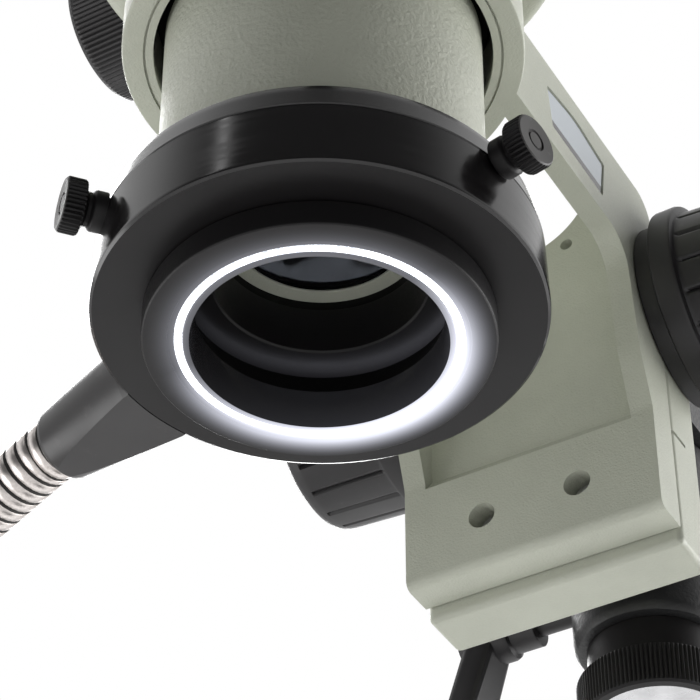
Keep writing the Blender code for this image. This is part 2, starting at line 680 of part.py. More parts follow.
def make_ocular(side, word):
    place = drum_place(side)
    tube_x, tube_y = side * TUBE_OFFSET[0], TUBE_OFFSET[1]
    tube_place = place @ Matrix.Translation((tube_x * MM, tube_y * MM, 0))
    housing = rod(f"prism_housing_{word}", 22.0, 0.5, 16, place, "grey_paint", MEDIUM)
    outline = rounded_outline([
        (tube_x - 20, -20, 16), (tube_x + 20, -20, 16), (tube_x + 20, tube_y + 20.5, 16),
        (tube_x - 20, tube_y + 20.5, 16),
    ], 3)
    body = extruded(f"prism_case_{word}", outline, 14, 36, place)
    cut(housing, body, "UNION")
    eyetube = [(0, 62), (17.5, 62), (17.5, 34), (0, 34)]
    cut(housing, turned(f"eyetube_{word}", eyetube, tube_place, None, MEDIUM), "UNION")
    cut(housing, rod(f"eyetube_bore_{word}", 15.3, 31, 70, tube_place, segments=MEDIUM))
    cut(housing, rod(f"drum_bore_{word}", 11.5, -2, 18, place, segments=COARSE))
    room = ((tube_x - 13, -10, 17), (tube_x + 13, 22.5, 33))
    cut(housing, box(f"prism_room_{word}", *room, place))
    glass = ((tube_x - 12.7, -9.7, 17.3), (tube_x + 12.7, 22.2, 30.7))
    prism = box(f"prism_{word}", *glass, place, "glass", 0.5, 1)
    eyepiece_profile = [
        (0, 80.5), (11.5, 80.5), (12.5, 82), (17.5, 82), (18.8, 81), (18.8, 76.5), (20.2, 75.8),
        (20.2, 65.5), (19.4, 64.4), (18, 62.4), (14.9, 62.4), (14.9, 44), (0, 44),
    ]
    eyepiece = turned(f"eyepiece_{word}", eyepiece_profile, tube_place, "black_plastic", MEDIUM)
    cup_profile = [
        (18.0, 95.5), (19.2, 94.5), (19.8, 82.3), (13.0, 82.3), (13.2, 86), (16.5, 95),
    ]
    cup = turned(f"eyecup_{word}", cup_profile, tube_place, "rubber", MEDIUM, closed=True)
    return (housing, prism), (eyepiece, cup)


def make_zoom():
    axis = at(head(0, ZOOM_Y, ZOOM_Z), ALONG_X)
    shaft_profile = [
        (0, 66), (3.1, 66), (3.1, 16), (7, 16), (7, -16), (3.1, -16), (3.1, -66), (0, -66),
    ]
    shaft = turned("zoom_shaft", shaft_profile, axis, "steel", COARSE)
    profile = [
        (0, 72.8), (13, 72.8), (16.0, 73.4), (17.7, 72.6), (18.1, 71.0), (18.1, 59.5),
        (17.2, 58.2), (3.4, 58.0), (3.4, 66.3), (0, 66.3),
    ]
    knobs = []
    for word, turn in (("right", ALONG_X), ("left", ALONG_MINUS_X)):
        place = at(head(0, ZOOM_Y, ZOOM_Z), turn)
        knobs.append(turned(f"zoom_knob_{word}", profile, place, "black_plastic", MEDIUM))
    return shaft, *knobs


def make_zoom_lens(name, low):
    """A carrier with a lens for each of the two light paths."""
    carrier = box(name, (-24, -12, low), (24, 8, low + 5), None, "brass", 1.0, 1)
    lens = [
        (0, low + 7), (5, low + 6.6), (8.5, low + 5.4), (8.5, low - 1.4), (5, low - 2.6),
        (0, low - 3),
    ]
    for side in (-1, 1):
        glass = turned(f"{name}_glass_{side}", lens, at(head(side * 12, -1, 0)), None, COARSE)
        cut(carrier, glass, "UNION")
    return carrier


# ---------------------------------------------------------------- ring light
def make_ring_light():
    body_profile = [
        (43.7, 22.0), (44.3, 21.5), (45.55, 15.5), (45.2, 15.2), (45.55, 14.9), (FLANGE_R, 0.7),
        (45.3, 0.0), (33.0, 0.0), (33.0, 9.0), (35.1, 9.0), (35.1, 22.0),
    ]
    body = turned("ring_light_body", body_profile, OPTICAL, "black_anodised", FINE, closed=True)
    nose_profile = [
        (32.7, 8.7), (32.7, -0.3), (35.3, -0.3), (35.3, -5.8), (34.9, -6.2), (29.5, -6.2),
        (29.5, -3.2), (26.3, -3.2), (26.3, -6.2), (25.6, -6.2), (25.2, 3.0), (27.5, 8.7),
    ]
    nose = turned("ring_light_nose", nose_profile, OPTICAL, "black_anodised", FINE, closed=True)
    glow_profile = [(29.1, -3.5), (29.1, -6.6), (26.7, -6.6), (26.7, -3.5)]
    glow = turned("fibre_ring", glow_profile, OPTICAL, "fibre_glow", FINE, closed=True)
    profile = [
        (0, 54.5), (1.9, 54.7), (2.3, 55.1), (5.2, 55.1), (5.75, 54.6), (5.75, 51.3),
        (5.2, 50.8), (4.15, 50.6), (4.15, 46.5), (2.0, 46.5), (2.0, 34.9), (0, 34.9),
    ]
    screws = []
    for i, angle in enumerate(SCREW_ANGLES, 1):
        line = at(head(0, 0, SCREW_Z), radial(angle))
        cut(body, rod(f"ring_thread_{i}", 2.3, 33, 50, line, segments=TINY))
        screws.append(turned(f"ring_light_screw_{i}", profile, line, "black_anodised", COARSE))

    line = at(head(*SLEEVE_AT), radial(SLEEVE_ANGLE))
    end = SLEEVE_LENGTH
    profile = [(0, end), (7.9, end), (8.3, end - 0.5), (11.8, 0.4), (11.8, -6), (0, -6)]
    sleeve = turned("guide_sleeve", profile, line, "black_plastic", MEDIUM)
    cut(sleeve, rod("sleeve_seat", FLANGE_R + 0.4, -10, 40, OPTICAL, segments=FINE))
    cut(sleeve, box("sleeve_flat", (-90, -30, -20), (-30, 50, 0)))
    return body, nose, glow, sleeve, *screws


def guide_route():
    """The guide's middle line, from the sleeve down to the top of the coil's left side."""
    turn = math.radians(SLEEVE_ANGLE)
    droop = math.radians(GUIDE_DROOP)
    level = Vector((math.cos(turn), math.sin(turn), 0))
    sleeve_end = head(*SLEEVE_AT) + level * SLEEVE_LENGTH * MM
    start = sleeve_end + level * 4.3 * MM
    out = level * math.cos(droop) - Vector((0, 0, math.sin(droop)))

    coil_left = Vector((COIL_CENTRE[0] - COIL_R, COIL_CENTRE[1], 0))
    over_coil = coil_left + Vector((0, 0, (2 * COIL_LEVELS + 1) * GUIDE_R + GAP))
    centre = over_coil + Vector((0, GUIDE_STRAIGHT, GUIDE_BEND_R))
    bend = []
    for k in range(1, 25):
        angle = math.pi / 2 * k / 24
        bend.append(centre + GUIDE_BEND_R * Vector((0, math.cos(angle), -math.sin(angle))))
    bend_top = centre + Vector((0, GUIDE_BEND_R, 0))
    ease_out, ease_in = GUIDE_EASE
    fall = interpolate_bezier(
        start, start + out * ease_out, bend_top + Vector((0, 0, ease_in)), bend_top, 80
    )
    path = [*fall, *bend, over_coil]
    return [sleeve_end + level * GAP, *resampled(path, 4.2 * GUIDE_R)]


def make_light_guide():
    route = guide_route()
    guide = tube("light_guide", route, GUIDE_R, "conduit")
    inner = (COIL_R - GUIDE_R) / MM - 0.3
    outer = (COIL_R + GUIDE_R) / MM + 0.3
    top = COIL_LEVELS * 2 * GUIDE_R / MM
    section = [
        (outer - 3, top), (outer, top - 3), (outer, 3), (outer - 3, 0), (inner + 3, 0),
        (inner, 3), (inner, top - 3), (inner + 3, top),
    ]
    coil = turned("light_guide_coil", section, at((*COIL_CENTRE, 0)), "conduit", 40, closed=True)
    cut(coil, tube("coil_tail", GUIDE_TAIL, GUIDE_R, None), "UNION")
    connector_profile = [
        (0, 56), (5.2, 56), (6, 55), (6, 30), (7.5, 29), (7.5, 24.5), (9, 24), (9, 3), (8, 0),
        (0, 0),
    ]
    connector = turned("source_connector", connector_profile, at(CONNECTOR_AT, ALONG_MINUS_Y),
                       "steel", COARSE)
    return guide, coil, connector


# ---------------------------------------------------------------- assembly
def main():
    make_base()
    make_column()
    clamp_at = (COLUMN_X, 0, HEAD_Z + BOOM_Z * MM)
    slide = joint_empty("joint_height_slide", clamp_at)
    attach(slide, *make_collar())
    swing = joint_empty("joint_boom_swing", clamp_at, slide)
    attach(swing, *make_cross_clamp())
    reach = joint_empty("joint_boom_extend", (0, 0, HEAD_Z + BOOM_Z * MM), swing)
    attach(reach, *make_boom(), make_lever())
    swivel = joint_empty("joint_head_swivel", head(0, SWIVEL_Y, 0), reach)
    attach(swivel, *make_carrier(), *make_focus_block())

    pinion = joint_empty("joint_focus_knob", head(0, PINION_Y, PINION_Z), swivel)
    attach(pinion, *make_pinion())
    focus = joint_empty("joint_focus_slide", head(0, ARM_BACK, PINION_Z), swivel)
    attach(focus, *make_arm(), *make_slide())

    pod = joint_empty("joint_pod_turn", head(0, 0, ARM_TOP), focus)
    attach(pod, *make_pod())
    zoom = joint_empty("joint_zoom_knob", head(0, ZOOM_Y, ZOOM_Z), pod)
    attach(zoom, *make_zoom())
    attach(pod, make_zoom_lens("zoom_lens_lower", 124.0), make_zoom_lens("zoom_lens_upper", 148.0))
    for side, word in ((-1, "left"), (1, "right")):
        drum = joint_empty(f"joint_eye_spacing_{word}", head(side * DRUM_X, *DRUM_AT), pod)
        case, ocular = make_ocular(side, word)
        attach(drum, *case, *ocular)

    light = joint_empty("joint_ring_light_turn", head(0, 0, 0), focus)
    attach(light, *make_ring_light(), *make_light_guide())


main()
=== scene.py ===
"""The look of the stereo microscope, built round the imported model.

Everything is in metres. The optical head is described in its own millimetres: the
optical axis is x = y = 0, height 0 is the lower face of the ring light's flange,
-Y is the user's side and +X the user's right.
"""

import math

import bmesh
import bpy
from mathutils import Matrix, Vector
from mathutils.geometry import interpolate_bezier


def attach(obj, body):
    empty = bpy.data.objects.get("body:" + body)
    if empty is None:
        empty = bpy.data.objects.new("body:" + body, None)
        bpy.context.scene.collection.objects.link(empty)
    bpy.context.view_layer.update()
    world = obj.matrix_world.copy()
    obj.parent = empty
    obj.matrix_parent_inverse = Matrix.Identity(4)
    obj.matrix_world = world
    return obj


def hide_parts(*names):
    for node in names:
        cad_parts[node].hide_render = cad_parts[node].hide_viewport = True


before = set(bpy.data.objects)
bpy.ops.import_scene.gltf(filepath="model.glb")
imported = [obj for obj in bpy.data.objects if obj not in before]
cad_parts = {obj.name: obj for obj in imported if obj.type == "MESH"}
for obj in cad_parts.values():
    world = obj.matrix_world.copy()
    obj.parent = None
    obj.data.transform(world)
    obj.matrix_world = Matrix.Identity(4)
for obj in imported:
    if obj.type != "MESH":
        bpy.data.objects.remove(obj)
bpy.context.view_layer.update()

MM = 0.001
HEAD_Y = -307.5 * MM
HEAD_Z = 400.0 * MM
GAP = 0.3 * MM
ROUND = 128  # facets round a large turned piece
HOLDER_FACETS = 160

# Sizes in the head's millimetres, unless they say MM.
FLANGE_R = 46.0
HOLDER_R = 43.9
ARM_HALF = 32.0
ARM_CHEEK = 5.5
ARM_FRONT = 92.5
ARM_BACK = 102.3
ARM_TOP = 101.5
ARM_SCREW_X = (-12.1, 12.1)
ARM_SCREW_Z = 17.1
LOCK_Z = 92.5
LOCK_ANGLE = -60
BLOCK_TOP = 92.0
BLOCK_BACK = 117.2
PINION_Y = 111.0
PINION_Z = 71.0
SWIVEL_Y = 157.5
BOOM_Z = 46.0
BOOM_LENGTH = 281.0
LEVER_Z = 31.0
SCREW_ANGLES = (-10.5, 109.5, 229.5)
SCREW_Z = 15.4
SLEEVE_AT = (-44.9, 8.35, 8.2)
SLEEVE_ANGLE = 166.9
SLEEVE_LENGTH = 29.0
POD_R = 56.5
POD_TOP = 165.0
ZOOM_Y = 17.0
ZOOM_Z = 140.0
TUBE_LEAN = 45.0
DRUM_X = 24.0
DRUM_AT = (-4.1, 190.0)
TUBE_OFFSET = (8.0, 11.5)
COLUMN_X = 40.0 * MM
COLUMN_TOP = 560.0
BASE_SIZE = (250.0, 300.0, 22.0)
BASE_Y = -80.0 * MM

GUIDE_R = 7.0 * MM
COIL_CENTRE = (-235.0 * MM, -330.0 * MM)
COIL_R = 76.0 * MM
COIL_LEVELS = 2
COIL_STEPS = 360
TURN_DROP = 100.0  # degrees in which a turn drops to the one below
GUIDE_EXIT = 4.3 * MM  # straight start, past the sleeve
GUIDE_DROOP = 11.0  # degrees below level at the sleeve
GUIDE_EASE = (170.0 * MM, 150.0 * MM)
GUIDE_BEND_R = 60.0 * MM
GUIDE_STRAIGHT = 10.0 * MM
GUIDE_STEP = 0.5 * MM
BEND_STEPS = 40
FALL_STEPS = 120
TAIL_STEPS = 4
GUIDE_SIDES = 24
PATH_STEP = 6.0 * MM  # spacing of the coarser route that make_guide returns
BAND_PITCH = 3.5 * MM
# One turn of the metal cladding: (place within the pitch, radius as a share of the guide's).
BAND = ((0.0, 0.89), (0.09, 0.89), (0.17, 0.98), (0.54, 1.0), (0.92, 0.98))
TAIL_END = -0.4000  # y of the guide's lower end
TAIL_RISE = 0.0018
TAIL_STEP = 0.012
CONNECTOR_Z = 0.0092

CAMERA_AT = (0.20016, -0.63905, 0.06053)
CAMERA_TURN = (130.632, -0.132, 30.120)
CAMERA_LENS = 133.25
CAMERA_SENSOR = 36.0

FLOOR_SIZE = 6.0
FLOOR_Z = -0.0005
BRIGHT_SIDE = (-0.5, 0.866, 0.0)
FRONT_LIGHT = 0.10
BACK_LIGHT = 1.0
# Each is (name, place, aim, size, watts).
LIGHTS = [
    ("top_light", (-0.9, 0.75, 1.5), (-0.1, 0.25, 0.0), (1.1, 1.1), 29),
    ("right_light", (0.9, 0.8, 0.55), (0.0, -0.3, 0.42), (0.8, 1.0), 14),
    ("low_light", (-0.36, -0.42, 0.26), (-0.08, -0.29, 0.40), (0.25, 0.2), 0.5),
    ("streak_light", (-0.37, -1.3, 1.5), (0.0, -0.35, 0.41), (0.05, 0.6), 0.5),
]

FIBRE_GLOW = 5.0
GREY = (0.455, 0.470, 0.395)


def head(x, y, z):
    """A point of the optical head, given in its own millimetres."""
    return Vector((x * MM, HEAD_Y + y * MM, HEAD_Z + z * MM))


def at(point, turn=None):
    """The placing of a piece whose own axis is turned first and then put at a point."""
    place = Matrix.Translation(Vector(point))
    return place @ turn if turn else place


def radial(angle):
    """Turns a piece's axis to point outwards, level, at an angle in degrees."""
    return Matrix.Rotation(math.radians(angle), 4, "Z") @ Matrix.Rotation(math.pi / 2, 4, "Y")


ALONG_X = Matrix.Rotation(math.pi / 2, 4, "Y")
ALONG_MINUS_X = Matrix.Rotation(-math.pi / 2, 4, "Y")
BOTH_SIDES = (("right", ALONG_X), ("left", ALONG_MINUS_X))
ALONG_Y = Matrix.Rotation(-math.pi / 2, 4, "X")
ALONG_MINUS_Y = Matrix.Rotation(math.pi / 2, 4, "X")
# Lays an outline in the Y-Z plane, with its depth along X.
SIDE_ON = Matrix(((0, 0, 1, 0), (1, 0, 0, 0), (0, 1, 0, 0), (0, 0, 0, 1)))
OPTICAL = at(head(0, 0, 0))
HALF_FACET = Matrix.Rotation(math.pi / HOLDER_FACETS, 4, "Z")
# The badge recess on the arm's right side, as (y, z, corner radius).
BADGE = [(46.3, 93.6, 0.8), (48.1, 81.7, 0.8), (73.9, 81.3, 0.8), (76.2, 93.4, 0.8),
         (61, 95.8, 30)]
# How far each corner moves for the plate that lies in it.
BADGE_CLEARANCE = ((0.3, -0.3), (0.3, 0.3), (-0.3, 0.3), (-0.3, -0.3), (0.0, -0.3))


# ---- materials
class Nodes:
    """Short calls for building one material's nodes."""

    def __init__(self, name):
        self.material = bpy.data.materials.new(name)
        self.material.use_nodes = True
        self.tree = self.material.node_tree
        self.shader = self.tree.nodes["Principled BSDF"]
        self.coords = self.add("ShaderNodeTexCoord").outputs["Object"]

    def add(self, kind, **values):
        node = self.tree.nodes.new(kind)
        for key, value in values.items():
            if key in node.inputs:
                node.inputs[key].default_value = value
            else:
                setattr(node, key, value)
        return node

    def link(self, a, b):
        self.tree.links.new(a, b)

    def set(self, **values):
        for key, value in values.items():
            self.shader.inputs[key.replace("_", " ")].default_value = value

    def noise(self, scale, detail=3.0, rough=0.5, stretch=None):
        node = self.add("ShaderNodeTexNoise", Scale=scale, Detail=detail, Roughness=rough)
        self.link(self.stretched(stretch), node.inputs["Vector"])
        return node.outputs["Fac"]

    def cells(self, scale):
        node = self.add("ShaderNodeTexVoronoi", Scale=scale)
        self.link(self.coords, node.inputs["Vector"])
        return node.outputs["Distance"]

    def stretched(self, stretch):
        if not stretch:
            return self.coords
        mapping = self.add("ShaderNodeMapping")
        mapping.inputs["Scale"].default_value = stretch
        self.link(self.coords, mapping.inputs["Vector"])
        return mapping.outputs["Vector"]

    def ramp(self, source, low, high, out_low=0.0, out_high=1.0):
        node = self.add("ShaderNodeMapRange")
        for key, value in zip(("From Min", "From Max", "To Min", "To Max"),
                              (low, high, out_low, out_high)):
            node.inputs[key].default_value = value
        self.link(source, node.inputs["Value"])
        return node.outputs["Result"]

    def maths(self, kind, a, b):
        node = self.add("ShaderNodeMath", operation=kind)
        for socket, value in zip(node.inputs, (a, b)):
            if isinstance(value, (int, float)):
                socket.default_value = value
            else:
                self.link(value, socket)
        return node.outputs["Value"]

    def along(self, axis):
        """The place along one of the object's own axes, in metres."""
        parts = self.add("ShaderNodeSeparateXYZ")
        self.link(self.coords, parts.inputs[0])
        return parts.outputs[axis]

    def painted_ring_glow(self, radius, reach, strength):
        """Painted glow: emission on a surface that is no lamp, standing in for stray light round
        the lit ring; it falls off away from the ring and is painted stronger at the far side.
        """
        x, y = self.along("X"), self.along("Y")
        square = self.maths("ADD", self.maths("MULTIPLY", x, x), self.maths("MULTIPLY", y, y))
        away = self.maths("SUBTRACT", self.maths("SQRT", square, 0.0), radius * MM)
        share = self.ramp(self.maths("ABSOLUTE", away, 0.0), 0.0, reach * MM, 1.0, 0.0)
        # The far side is painted brighter.
        side = self.ramp(y, -8 * MM, 32 * MM, 0.10, 1.0)
        falling = self.maths("MULTIPLY", share, self.maths("MULTIPLY", share, share))
        return self.maths("MULTIPLY", falling, self.maths("MULTIPLY", side, strength))

    def mixed(self, amount, first, second):
        node = self.add("ShaderNodeMix", data_type="RGBA")
        node.inputs["A"].default_value = (*first, 1)
        node.inputs["B"].default_value = (*second, 1)
        self.link(amount, node.inputs["Factor"])
        return node.outputs["Result"]

    def colour(self, source):
        self.link(source, self.shader.inputs["Base Color"])

    def roughness(self, source):
        self.link(source, self.shader.inputs["Roughness"])

    def bump(self, *layers):
        """Each layer is (height, strength, distance in metres)."""
        last = None
        for height, strength, distance in layers:
            node = self.add("ShaderNodeBump", Strength=strength, Distance=distance)
            self.link(height, node.inputs["Height"])
            if last:
                self.link(last, node.inputs["Normal"])
            last = node.outputs["Normal"]
        self.link(last, self.shader.inputs["Normal"])


def enamel(name, base, crinkle, distance):
    """Textured enamel: fine rounded grain, faint mottling and a satin finish."""
    n = Nodes(name)
    darker = tuple(c * 0.93 for c in base)
    n.colour(n.mixed(n.ramp(n.noise(60, 4), 0.35, 0.65), darker, base))
    grain = n.noise(crinkle, 2.0, 0.45)
    fine = n.noise(crinkle * 2.6, 2.0, 0.5)
    n.roughness(n.ramp(grain, 0.3, 0.7, 0.36, 0.52))
    n.bump((grain, 0.9, distance), (fine, 0.5, distance * 0.5))
    n.set(Specular_IOR_Level=0.45)
    return n.material


def anodised(name, rough, ringed, glow=None, shine=0.6):
    """Black anodising over turned metal, with faint turning lines and dust; with glow, a painted
    glow of emission near the lit ring is added.
    """
    n = Nodes(name)
    specks = n.ramp(n.cells(420), 0.0, 0.055, 1.0, 0.0)
    rare = n.ramp(n.noise(90, 2), 0.58, 0.66)
    dust = n.maths("MULTIPLY", specks, rare)
    n.colour(n.mixed(dust, (0.0075, 0.0068, 0.0072), (0.05, 0.05, 0.048)))
    cloudy = n.noise(38, 4)
    lines = n.noise(900, 2, 0.5, (0.02, 0.02, 1.0)) if ringed else n.noise(1400, 2)
    smears = n.ramp(cloudy, 0.3, 0.7, rough, rough + 0.12)
    n.roughness(n.maths("ADD", smears, n.ramp(lines, 0.4, 0.6, -0.02, 0.03)))
    n.bump((lines, 0.10, 0.00003), (dust, 0.3, 0.00002))
    n.set(Specular_IOR_Level=shine)
    # With glow, emission is painted on near the lit ring as a painted glow.
    if glow:
        n.link(n.painted_ring_glow(*glow), n.shader.inputs["Emission Strength"])
        n.set(Emission_Color=(0.86, 0.88, 1.0, 1.0))
    return n.material


def moulded(name, base=(0.012, 0.011, 0.012), rough=0.42, grain=1500.0, shine=0.5):
    """Moulded plastic or rubber: fine grain with a few paler scuffs."""
    n = Nodes(name)
    texture = n.noise(grain, 2)
    scuffs = n.ramp(n.noise(140, 5, 0.65), 0.62, 0.75)
    lighter = tuple(c * 2.2 + 0.006 for c in base)
    n.colour(n.mixed(scuffs, base, lighter))
    n.roughness(n.ramp(n.noise(55, 4), 0.3, 0.7, rough - 0.06, rough + 0.08))
    n.bump((texture, 0.22, 0.00004))
    n.set(Specular_IOR_Level=shine)
    return n.material


def metal(name, base, rough, stretch=(1.0, 1.0, 30.0), scale=140.0, bump=0.10):
    """Bare metal with fine marks that run round it."""
    n = Nodes(name)
    lines = n.noise(scale, 4, 0.6, stretch)
    darker = tuple(c * 0.82 for c in base)
    n.colour(n.mixed(n.ramp(lines, 0.35, 0.65), darker, base))
    n.roughness(n.ramp(n.noise(60, 4), 0.3, 0.7, rough * 0.8, rough * 1.25))
    n.bump((lines, bump, 0.00003))
    n.set(Metallic=1.0)
    return n.material


def glass():
    """Clear glass under a thin coating."""
    n = Nodes("coated_glass")
    tint = n.noise(30, 2)
    n.colour(n.mixed(n.ramp(tint, 0.3, 0.7), (0.80, 0.86, 0.92), (0.92, 0.95, 0.98)))
    n.roughness(n.ramp(tint, 0.3, 0.7, 0.015, 0.05))
    n.set(Transmission_Weight=1.0, IOR=1.52, Coat_Weight=0.6, Coat_Roughness=0.02,
          Coat_Tint=(0.92, 0.94, 1.0, 1.0))
    return n.material


def lit_fibres():
    """The polished ends of lit fibres, brighter in their middles, with the far side painted
    brighter.
    """
    n = Nodes("lit_fibres")
    dots = n.cells(2600)
    n.colour(n.mixed(n.ramp(dots, 0.2, 0.8), (0.93, 0.96, 1.0), (0.72, 0.80, 0.95)))
    n.link(n.mixed(n.ramp(dots, 0.25, 0.75), (1.0, 1.0, 1.0), (0.86, 0.90, 1.0)),
           n.shader.inputs["Emission Color"])
    grain = n.ramp(dots, 0.2, 0.8, 1.0, 0.30)
    # The far side is painted brighter than the near side.
    side = n.ramp(n.along("Y"), -30 * MM, 10 * MM, 0.28, 1.0)
    n.link(n.maths("MULTIPLY", n.maths("MULTIPLY", grain, side), FIBRE_GLOW),
           n.shader.inputs["Emission Strength"])
    n.set(Roughness=0.3)
    return n.material


def plate_with_painted_reflection():
    """A glossy blank black plate: a dark lower border, and a pale upper part that is a painted
    reflection of the bright surroundings.
    """
    n = Nodes("badge_plate")
    # The pale upper part is a painted reflection.
    painted_reflection_part = n.ramp(n.along("Y"), 84.2 * MM, 84.6 * MM)
    n.colour(n.mixed(painted_reflection_part, (0.03, 0.03, 0.032), (0.42, 0.46, 0.50)))
    n.roughness(n.ramp(n.noise(60, 3), 0.3, 0.7, 0.12, 0.2))
    n.bump((n.noise(700, 2), 0.05, 0.00002))
    return n.material


MATERIALS = {
    "enamel": enamel("grey_enamel", GREY, 1900, 0.00014),
    "crinkle": enamel("grey_crinkle_enamel", GREY, 950, 0.00028),
    "cast_black": enamel("black_enamel", (0.012, 0.012, 0.0125), 1100, 0.00012),
    "anodised": anodised("black_anodised", 0.11, True),
    "anodised_face": anodised("black_anodised_face", 0.34, False, shine=0.25),
    # The front face and the bore get a painted glow near the lit fibre ring.
    "nose_face_painted_glow": anodised("black_anodised_front_painted_glow", 0.34, False, (28.0, 8.5, 2.6), 0.25),
    "nose_bore_painted_glow": anodised("black_anodised_bore_painted_glow", 0.10, False, (27.5, 3.5, 0.25), 0.3),
    "plastic": moulded("black_plastic"),
    "sleeve": moulded("sleeve_plastic", (0.013, 0.0115, 0.012), 0.36, 900),
    "paler_end_face": moulded("paler_black", (0.045, 0.043, 0.042), 0.5, 1200),
    "badge": plate_with_painted_reflection(),
    # Near-black painted shade for recesses and gaps.
    "recess_painted_shade": moulded("recess_painted_shade", (0.004, 0.004, 0.004), 0.6, 900, 0.15),
    "rubber": moulded("black_rubber", (0.016, 0.016, 0.016), 0.75, 900),
    "chrome": metal("chrome", (0.80, 0.80, 0.81), 0.10, bump=0.03),
    "steel": metal("turned_steel", (0.56, 0.56, 0.57), 0.28),
    "brass": metal("machined_brass", (0.74, 0.53, 0.22), 0.28),
    "conduit": metal("conduit_bands", (0.74, 0.69, 0.66), 0.34, (1.0, 1.0, 1.0), 1700, 0.12),
    # Dark painted shade for the grooves between the cladding's turns.
    "groove_painted_shade": moulded("conduit_groove_painted_shade", (0.03, 0.027, 0.025), 0.6),
    "glass": glass(),
    "fibres": lit_fibres(),
    "floor": moulded("floor_sheet", (0.80, 0.80, 0.80), 0.6, 300),
}


# ---- shapes
def add_object(name, mesh, place, material=None):
    obj = bpy.data.objects.new(name, mesh)
    bpy.context.scene.collection.objects.link(obj)
    obj.matrix_world = place
    if material:
        mesh.materials.append(MATERIALS[material])
    return obj


def finished(shape, name, place, material=None):
    """Turns a bmesh into an object and frees it."""
    mesh = bpy.data.meshes.new(name)
    shape.to_mesh(mesh)
    shape.free()
    return add_object(name, mesh, place, material)


def lathe(name, profile, place, material=None, segments=ROUND, closed=False, ripple=None):
    """A turned piece; the profile is (radius, height) in mm, down the outer side.

    ripple is a function (angle, radius, height) giving the radius to use instead.
    """
    verts = []
    rings = []
    for radius, height in profile:
        if radius < 1e-6:
            rings.append([len(verts)])
            verts.append((0, 0, height * MM))
            continue
        ring = []
        for k in range(segments):
            angle = 2 * math.pi * k / segments
            r = ripple(angle, radius, height) if ripple else radius
            ring.append(len(verts))
            verts.append((r * math.cos(angle) * MM, r * math.sin(angle) * MM, height * MM))
        rings.append(ring)
    pairs = list(zip(rings, rings[1:]))
    if closed:
        pairs.append((rings[-1], rings[0]))
    faces = []
    for upper, lower in pairs:
        for k in range(segments):
            n = (k + 1) % segments
            if len(upper) == 1:
                faces.append((upper[0], lower[k], lower[n]))
            elif len(lower) == 1:
                faces.append((upper[n], upper[k], lower[0]))
            else:
                faces.append((upper[n], upper[k], lower[k], lower[n]))
    mesh = bpy.data.meshes.new(name)
    mesh.from_pydata(verts, [], faces)
    return add_object(name, mesh, place, material)


def rod(name, radius, low, high, place, material=None, segments=64):
    """A cylinder; one without a material cuts, and is turned half a facet."""
    profile = [(0, high), (radius, high), (radius, low), (0, low)]
    if not material:
        place = place @ Matrix.Rotation(math.pi / segments, 4, "Z")
    return lathe(name, profile, place, material, segments)


def box(name, low, high, place=None, material=None):
    """A box between two corners, in mm."""
    centre = (Vector(low) + Vector(high)) * 0.5 * MM
    shape = bmesh.new()
    bmesh.ops.create_cube(shape, size=1.0)
    bmesh.ops.scale(shape, vec=(Vector(high) - Vector(low)) * MM, verts=shape.verts)
    bmesh.ops.translate(shape, vec=centre, verts=shape.verts)
    return finished(shape, name, place or OPTICAL, material)


def rounded_outline(corners, steps=8):
    """The points of an outline whose corners (x, y, radius) are rounded by arcs."""
    points = []
    count = len(corners)
    for i, (x, y, radius) in enumerate(corners):
        here = Vector((x, y))
        if radius == 0:
            points.append(here)
            continue
        back = (Vector(corners[i - 1][:2]) - here).normalized()
        ahead = (Vector(corners[(i + 1) % count][:2]) - here).normalized()
        half = back.angle(ahead) / 2
        reach = radius / math.tan(half)
        centre = here + (back + ahead).normalized() * radius / math.sin(half)
        start = here + back * reach - centre
        end = here + ahead * reach - centre
        turn = start.angle_signed(end)
        for k in range(steps + 1):
            points.append(centre + Matrix.Rotation(-turn * k / steps, 2) @ start)
    return points


def extruded(name, outline, low, high, place, material=None):
    """A flat outline made solid between two heights along its normal, in mm."""
    shape = bmesh.new()
    verts = [shape.verts.new((x * MM, y * MM, low * MM)) for x, y in outline]
    face = shape.faces.new(verts)
    moved = bmesh.ops.extrude_face_region(shape, geom=[face])["geom"]
    top = [v for v in moved if isinstance(v, bmesh.types.BMVert)]
    bmesh.ops.translate(shape, vec=(0, 0, (high - low) * MM), verts=top)
    bmesh.ops.recalc_face_normals(shape, faces=shape.faces)
    return finished(shape, name, place, material)


def bake(obj):
    """Applies an object's modifiers."""
    bpy.context.view_layer.update()
    graph = bpy.context.evaluated_depsgraph_get()
    mesh = bpy.data.meshes.new_from_object(obj.evaluated_get(graph))
    old = obj.data
    obj.modifiers.clear()
    obj.data = mesh
    bpy.data.meshes.remove(old)


def cut(obj, cutter, operation="DIFFERENCE"):
    """Applies a Boolean at once and removes the cutter."""
    boolean = obj.modifiers.new(cutter.name, "BOOLEAN")
    boolean.operation = operation
    boolean.solver = "EXACT"
    boolean.object = cutter
    bake(obj)
    bpy.data.objects.remove(cutter, do_unlink=True)


def soften(obj, width, steps=2, angle=32):
    """Rounds an object's sharp edges by a small radius, in mm."""
    bevel = obj.modifiers.new("Bevel", "BEVEL")
    bevel.width = width * MM
    bevel.segments = steps
    bevel.limit_method = "ANGLE"
    bevel.angle_limit = math.radians(angle)
    bevel.use_clamp_overlap = True
    bevel.miter_outer = "MITER_ARC"
    bake(obj)


def weld(obj, distance=0.01):
    """Joins points that a Boolean left closer together than this, in mm."""
    shape = bmesh.new()
    shape.from_mesh(obj.data)
    bmesh.ops.remove_doubles(shape, verts=shape.verts, dist=distance * MM)
    bmesh.ops.dissolve_degenerate(shape, edges=shape.edges, dist=distance * MM)
    shape.to_mesh(obj.data)
    shape.free()


